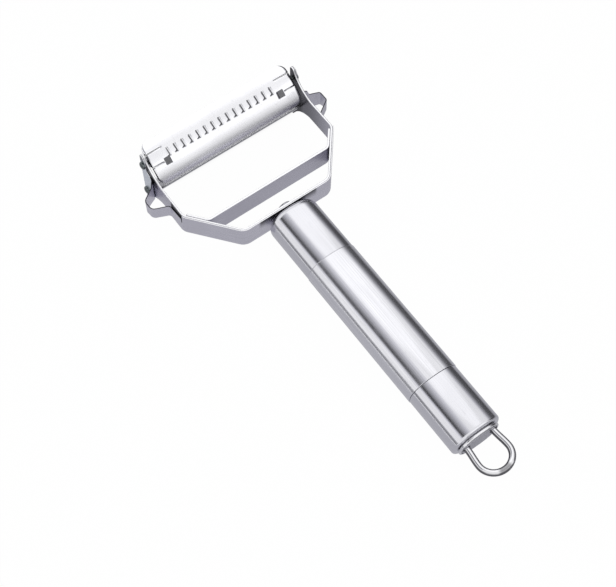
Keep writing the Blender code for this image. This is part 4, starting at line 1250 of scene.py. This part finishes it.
@dataclass
class RearEnd:
    """The bead around the end plug, and the wire that the tool hangs from."""

    tool: Tool
    finish: Steel
    bead_inset: float = 0.0016
    bead_width: float = 0.0010
    rim: float = 0.0010
    wire_radius: float = 0.00125
    leg_x: float = 0.00580
    belly_x: float = 0.00645
    belly_y: float = -0.1185
    end_y: float = -0.12440
    inside: float = 0.0050
    wire_z: float = 0.0008
    # How the painted shade on the wire's flanks and its bend sets in, and how deep it gets.
    flank_range: Pair = (0.45, 0.90)
    bend_range: Pair = (0.90, 0.98)
    bend_share: float = 0.7
    darkest: float = 0.9
    bead_points: int = 17
    inside_points: int = 4
    leg_points: int = 25
    turn_points: int = 37
    wire_steps: int = 32

    def bead(self) -> Patch:
        """Loft the bead: half an ellipse of the bead's depth and width around the plug's neck."""
        tool = self.tool
        inner = tool.rear_rounding + self.rim
        front = tool.handle_rear_y - tool.gap
        angle = np.radians(np.linspace(0.0, 180.0, self.bead_points))
        inset = inner - (inner - self.bead_inset) * (0.5 + 0.5 * np.sin(angle))
        y = front - self.bead_width / 2 * (1 - np.cos(angle))
        return Oval(tool.handle_half_width, tool.handle_half_height).rings(
            np.concatenate([[inner], inset, [inner, inner]]),
            np.concatenate([[front], y, [front - self.bead_width, front]]))

    def wire(self) -> Patch:
        """Sweep a circle along the loop: two legs that ease outward, then half an ellipse.

        The legs leave at leg_x and reach belly_x along 3s^2 - 2s^3; the ellipse is belly_x wide and
        closes at end_y. The mask goes down to -1 on the wire's flanks and where the loop turns.
        """
        tool = self.tool
        start = tool.handle_rear_y + self.inside
        leave = tool.handle_rear_y - tool.gap - self.bead_width
        share = np.linspace(0.0, 1.0, self.leg_points)
        leg_x = self.leg_x + (self.belly_x - self.leg_x) * smoothstep(share)
        leg_y = leave + (self.belly_y - leave) * share
        turn = np.radians(np.linspace(0.0, 90.0, self.turn_points))[1:]
        x = np.concatenate([np.full(self.inside_points, self.leg_x), leg_x, self.belly_x * np.cos(turn)])
        y = np.concatenate([np.linspace(start, leave, self.inside_points + 1)[:-1], leg_y,
                            self.belly_y + (self.end_y - self.belly_y) * np.sin(turn)])
        line = np.stack([np.concatenate([-x, x[-2::-1]]), np.concatenate([y, y[-2::-1]])], axis=1)
        heading = np.gradient(line, axis=0)
        heading /= np.linalg.norm(heading, axis=1)[:, None]
        angle = np.linspace(0.0, 2 * math.pi, self.wire_steps + 1)
        side = self.wire_radius * np.cos(angle)[None, :]
        points = stacked(line[:, :1] - heading[:, 1:] * side, line[:, 1:] + heading[:, :1] * side,
                         self.wire_z + self.wire_radius * np.sin(angle)[None, :])
        flank, bend = (smoothstep((values - low) / (high - low)) for values, (low, high) in (
            (np.abs(np.cos(angle))[None, :], self.flank_range), (np.abs(heading[:, :1]), self.bend_range)))
        # Painted shade: mask -1 on the flanks and the bend.
        shade = -np.clip(flank + self.bend_share * bend, 0.0, self.darkest)
        return capped(points, angle * self.wire_radius, run_lengths(line), shade)

    def build(self) -> list[bpy.types.Object]:
        """Build the bead and the wire and return them."""
        paints = [self.finish.material(self.tool)]
        return [stand_in(node, [patch], self.tool, paints)
                for node, patch in (("end_collar", self.bead()), ("hanging_loop", self.wire()))]


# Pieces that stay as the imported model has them


@dataclass
class PlainNodes:
    """Nodes whose shape is right as it is, which only get their finish."""

    tool: Tool
    finishes: Mapping[str, Steel]

    def build(self) -> list[bpy.types.Object]:
        """Dress the nodes and return them."""
        for name, finish in self.finishes.items():
            piece = frame["nodes"][name]
            piece.data.materials.clear()
            piece.data.materials.append(finish.material(self.tool))
        return [frame["nodes"][name] for name in self.finishes]


# Studio


def flat_sheet(name: str, corners: Sequence[Sequence[float]], paint: Paint) -> bpy.types.Object:
    """Put up a flat sheet that belongs to the stage, with a UV map from 0 to 1.

    Args:
        name: name of the sheet.
        corners: its four corners in order.
        paint: its material.

    Returns:
        The sheet.
    """
    mesh = bpy.data.meshes.new(name)
    mesh.from_pydata(corners, [], [(0, 1, 2, 3)])
    mesh.uv_layers.new(name="lines").data.foreach_set("uv", (0, 0, 1, 0, 1, 1, 0, 1))
    mesh.materials.append(paint.made)
    made = bpy.data.objects.new(name, mesh)
    bpy.context.scene.collection.objects.link(made)
    return made


@dataclass(frozen=True)
class Softbox:
    """A soft lamp of a width and a height, with its power in watts, that hangs at a place."""

    name: str
    place: Triple
    size: Pair
    power: float

    def hang(self, target: Vector) -> None:
        """Hang the lamp and point it at a place."""
        data = bpy.data.lights.new(self.name, "AREA")
        data.shape = "RECTANGLE"
        data.size, data.size_y = self.size
        data.energy = self.power
        lamp = bpy.data.objects.new(self.name, data)
        lamp.location = self.place
        lamp.rotation_euler = (target - Vector(self.place)).to_track_quat("-Z", "Y").to_euler()
        bpy.context.scene.collection.objects.link(lamp)


@dataclass(frozen=True)
class Card:
    """A grey card beside the tool that only shows in the metal.

    Attributes:
        name: name of the card.
        corner: its first corner.
        side: from the first corner to the second.
        rise: from the first corner to the fourth.
        shades: how light it is at even steps along its rise.
        blue: how much lighter its blue is.
    """

    name: str
    corner: Triple
    side: Triple
    rise: Triple
    shades: tuple[float, ...]
    blue: float = 1.06

    def put(self) -> None:
        """Put the card up."""
        corner, side, rise = Vector(self.corner), Vector(self.side), Vector(self.rise)
        paint = Paint(self.name)
        height = paint.axes(paint.lines((1.0, 1.0)))[1]
        last = max(1, len(self.shades) - 1)
        stops = [(index / last, scaled((shade, shade, shade * self.blue), 1.0))
                 for index, shade in enumerate(self.shades)]
        tone = paint.add("ShaderNodeValToRGB", {"stops": stops}, {0: height})
        paint.surface(paint.add("ShaderNodeEmission", None, {"Color": tone}))
        card = flat_sheet(self.name, (corner, corner + side, corner + side + rise, corner + rise), paint)
        card.visible_camera = card.visible_diffuse = card.visible_shadow = False


@dataclass
class Studio:
    """Pale floor, soft light, cards and the camera."""

    tool: Tool
    camera_place: Triple = (-0.14426, -0.20676, 0.41858)
    camera_right: Triple = (0.80800, -0.58916, 0.00475)
    camera_up: Triple = (0.52070, 0.71785, 0.46214)
    lens: float = 76.93
    sensor: float = 36.0
    floor_half: float = 3.0
    floor_glow: float = 0.98
    world_fill: float = 0.92
    # A patch of floor ahead of the head, painted dark as shadow.
    shade_x: Pair = (-0.024, 0.040)
    shade_y: Pair = (0.085, 0.1005)
    shade_soft: float = 0.004
    shade_colour: Triple = (0.18, 0.18, 0.19)
    floor_colour: Triple = (0.86, 0.86, 0.87)
    floor_level: float = -0.0002
    floor_roughness: float = 0.9
    card_level: float = 0.0004
    lamp_target: Triple = (0.0, 0.0, 0.01)
    clip: Pair = (0.01, 20.0)

    def seen(self, paint: Paint) -> Signal:
        """Return 1 for camera, glossy and transmission rays, and 0 for the others."""
        camera, glossy, passing = (paint.add("ShaderNodeLightPath", None, None, f"Is {ray} Ray")
                                   for ray in ("Camera", "Glossy", "Transmission"))
        total = camera + glossy + passing
        total.socket.node.use_clamp = True
        return total

    def shadow_patch(self, paint: Paint) -> Signal:
        """Return 1 on the floor's patch ahead of the head, which is painted as shadow, and 0 around it."""
        spots, soft = paint.axes(paint.add("ShaderNodeTexCoord", output="Object")), self.shade_soft
        across, along = (spot.within((low - soft, low + soft), (high - soft, high + soft))
                         for spot, (low, high) in zip(spots, (self.shade_x, self.shade_y)))
        return across * along

    def lay_floor(self) -> None:
        """Lay the floor, which glows white in what the camera and the metal see, keeps its shadows and has a
        painted shadow ahead of the head.
        """
        half, level = self.floor_half, self.floor_level
        paint = Paint("pale_floor")
        near = self.shadow_patch(paint)
        paint.dress(Base_Color=paint.blend(near, self.floor_colour, self.shade_colour),
                    Roughness=self.floor_roughness)
        glow = paint.add("ShaderNodeEmission", None, {"Color": (1.0, 1.0, 1.0), "Strength": 1.0})
        paint.surface(paint.add("ShaderNodeMixShader", None, {
            0: self.seen(paint) * self.floor_glow * (1 - near), 1: Signal(paint, paint.shader.outputs[0]),
            2: glow}))
        flat_sheet("floor", [(x * half, y * half, level) for x, y in ((-1, -1), (1, -1), (1, 1), (-1, 1))],
                   paint)

    def set_world(self) -> None:
        """Make the surroundings white to what looks at them, and a plain fill to the rest."""
        paint = Paint("studio", bpy.data.worlds, "Background")
        bpy.context.scene.world = paint.made
        paint.dress(Color=(1.0, 1.0, 1.0),
                    Strength=self.seen(paint) * (1.0 - self.world_fill) + self.world_fill)

    def place_camera(self) -> None:
        """Put the camera where the photograph was taken from."""
        data = bpy.data.cameras.new("camera")
        data.lens, data.sensor_width = self.lens, self.sensor
        data.clip_start, data.clip_end = self.clip
        camera = bpy.data.objects.new("camera", data)
        bpy.context.scene.collection.objects.link(camera)
        right, up = Vector(self.camera_right).normalized(), Vector(self.camera_up)
        back = right.cross(up).normalized()
        axes = Matrix((right, back.cross(right), back)).transposed().to_4x4()
        camera.matrix_world = self.tool.lying @ Matrix.Translation(self.camera_place) @ axes
        bpy.context.scene.camera = camera

    def build(self) -> None:
        """Set the whole studio up."""
        bpy.context.scene.view_settings.view_transform = "Standard"
        self.lay_floor()
        self.set_world()
        for box in (Softbox("key", (0.30, 0.45, 0.90), (0.8, 0.8), 0.50),
                    Softbox("fill", (0.35, -0.75, 0.75), (0.7, 0.5), 0.30)):
            box.hang(Vector(self.lamp_target))
        low = self.card_level
        for card in (
                Card("card_above_left", (0.013, -0.12, 0.42), (0.0, 0.52, 0.0), (-0.476, 0.0, 0.0),
                     (1.0, 0.74, 0.55, 0.42, 0.28, 0.10, 0.02, 0.20, 0.75, 0.92, 1.0, 1.0, 1.0)),
                Card("card_right", (0.16, -0.20, 0.0), (0.0, 0.50, 0.0), (0.0, 0.0, 0.07), (0.08, 0.10)),
                Card("card_right_top", (0.16, -0.20, 0.07), (0.0, 0.50, 0.0), (0.0, 0.0, 0.07),
                     (0.10, 0.35, 0.8)),
                Card("card_right_floor", (0.02, -0.20, low), (0.0, 0.50, 0.0), (0.14, 0.0, 0.0), (0.5, 0.10)),
                Card("card_left", (-0.30, -0.25, 0.02), (0.0, 0.60, 0.0), (0.0, 0.0, 0.09), (0.25, 0.35)),
                Card("card_left_floor", (-0.30, -0.20, low), (0.0, 0.50, 0.0), (0.32, 0.0, 0.0), (0.55, 0.5)),
                Card("card_behind", (-0.05, -0.45, 0.0), (0.50, 0.0, 0.0), (0.0, 0.0, 0.20), (0.2, 1.0))):
            card.put()
        self.place_camera()


def main() -> None:
    """Build the sub-assemblies in order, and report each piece."""
    logging.basicConfig(level=logging.INFO, format="%(name)s: %(message)s")
    tool = Tool()
    # The cut edges' pale colour is their polish together with a painted highlight; the near black one is
    # painted shade.
    satin, cut_edge_polish_and_highlight, painted_shade = (0.63, 0.62, 0.69), (0.90, 0.90, 0.92), (0.025, 0.025, 0.03)
    outer_face, inner_face = (0.0340, 0.0349), (0.0325, 0.0335)
    # Painted zones: the ears' tops and the band beside the handle's front end are painted dark as shade, and
    # the end plates' outer faces are painted light as a reflection.
    ear_top_shade = PaintedZone((0.10, 0.10, 0.11), (0.0325, 0.0349), (0.0424, 0.0600), 0.0104, 0.0010, 0.85)
    shadow_by_handle = PaintedZone(painted_shade, (-1.0, 0.0120), (-0.0010, 0.0040), 0.0025, soft=0.0030, share=0.95)
    band = Steel("satin_band", "frame_satin_steel", (0.75, 0.74, 0.81), 0.28, masked_colour=cut_edge_polish_and_highlight,
                 dark_colour=painted_shade,
                 zones=(PaintedZone((0.82, 0.88, 0.93), outer_face, (0.0385, 0.0600), share=0.9), ear_top_shade,
                        shadow_by_handle))
    # On the strips, the recesses beside the shoulders and the ears and the arms' inner faces towards the ears
    # are painted dark as shade.
    strip = Steel("satin_strip", "frame_satin_steel", satin, 0.28, masked_colour=cut_edge_polish_and_highlight, dark_colour=painted_shade,
                  zones=(PaintedZone(painted_shade, outer_face, (0.0188, 0.0265)),
                         PaintedZone(painted_shade, outer_face, (0.0353, 0.0428), 0.0013),
                         PaintedZone(painted_shade, inner_face, (0.0140, 0.0600), rise=0.0220, share=0.75),
                         PaintedZone(painted_shade, inner_face, (0.0362, 0.0600), rise=0.0028, share=0.95), ear_top_shade))
    # The blade's top face; the slotted blade's near edge on it is painted dark as shade.
    plate = Steel("polished_blade", "blade_polished_steel", (0.91, 0.91, 0.94), 0.22, Turning.ACROSS,
                  line_shade=0.03, line_depth=0.0000005, dark_colour=(0.12, 0.12, 0.13))
    # The rim and the inside are darker copies of the blade steel, painted as shade; both get a painted
    # highlight at the far edge, and the rim also along the slotted blade's near edge.
    rim = Steel("blade_rim", "blade_polished_steel", (0.14, 0.14, 0.15), 0.65, Turning.ACROSS,
                masked_colour=(0.93, 0.93, 0.95), dark_colour=(0.85, 0.85, 0.88))
    inside = Steel("blade_inside", "blade_polished_steel", (0.45, 0.45, 0.47), 0.35, Turning.ACROSS,
                   masked_colour=(0.93, 0.93, 0.95))
    polished = Steel("polished_tube", "handle_polished_steel", (0.76, 0.76, 0.80), 0.15)
    brushed = Steel("brushed_grip", "grip_brushed_steel", (0.84, 0.84, 0.88), 0.18, line_shade=0.14)
    # The wire's dark colour is painted shade on its flanks and bend.
    bright = Steel("bright_wire", "loop_bright_steel", (0.84, 0.84, 0.86), 0.14, line_shade=0.03,
                   dark_colour=(0.10, 0.10, 0.11))
    # The rivets' near black colour is painted shade on bright steel.
    pin = Steel("rivet_steel", "pin_bright_steel", (0.16, 0.18, 0.18), 0.20, Turning.NONE)
    dull = Steel("dull_plug", "plug_dull_steel", (0.45, 0.45, 0.48), 0.42, Turning.NONE, has_map=False)
    end = Steel("dull_end_plug", "end_plug_dull_steel", (0.50, 0.50, 0.54), 0.38, Turning.NONE, has_map=False)
    finishes = (plate, rim, inside)
    front_blade = SwingBlade(tool, finishes, "julienne_blade", Body.JULIENNE, Edge.FINGERS,
                             tilt=math.radians(34), level=1.0)
    rear_blade = SwingBlade(tool, finishes, "peeling_blade", Body.PEELING, Edge.SLOT,
                            tilt=math.radians(44), level=-1.0, near_width=0.0096)
    assemblies = [StripFrame(tool, band, strip), front_blade, rear_blade,
                  Rivets(tool, pin, front_blade.half_length), Handle(tool, polished, brushed),
                  RearEnd(tool, bright),
                  PlainNodes(tool, {"front_plug": dull, "frame_screw": dull, "end_plug": end})]
    for assembly in assemblies:
        for piece in assembly.build():
            LOG.info("%s: %s, %d faces", type(assembly).__name__, piece.name, len(piece.data.polygons))
    Studio(tool).build()
    bpy.context.view_layer.update()


if __name__ == "__main__":
    main()
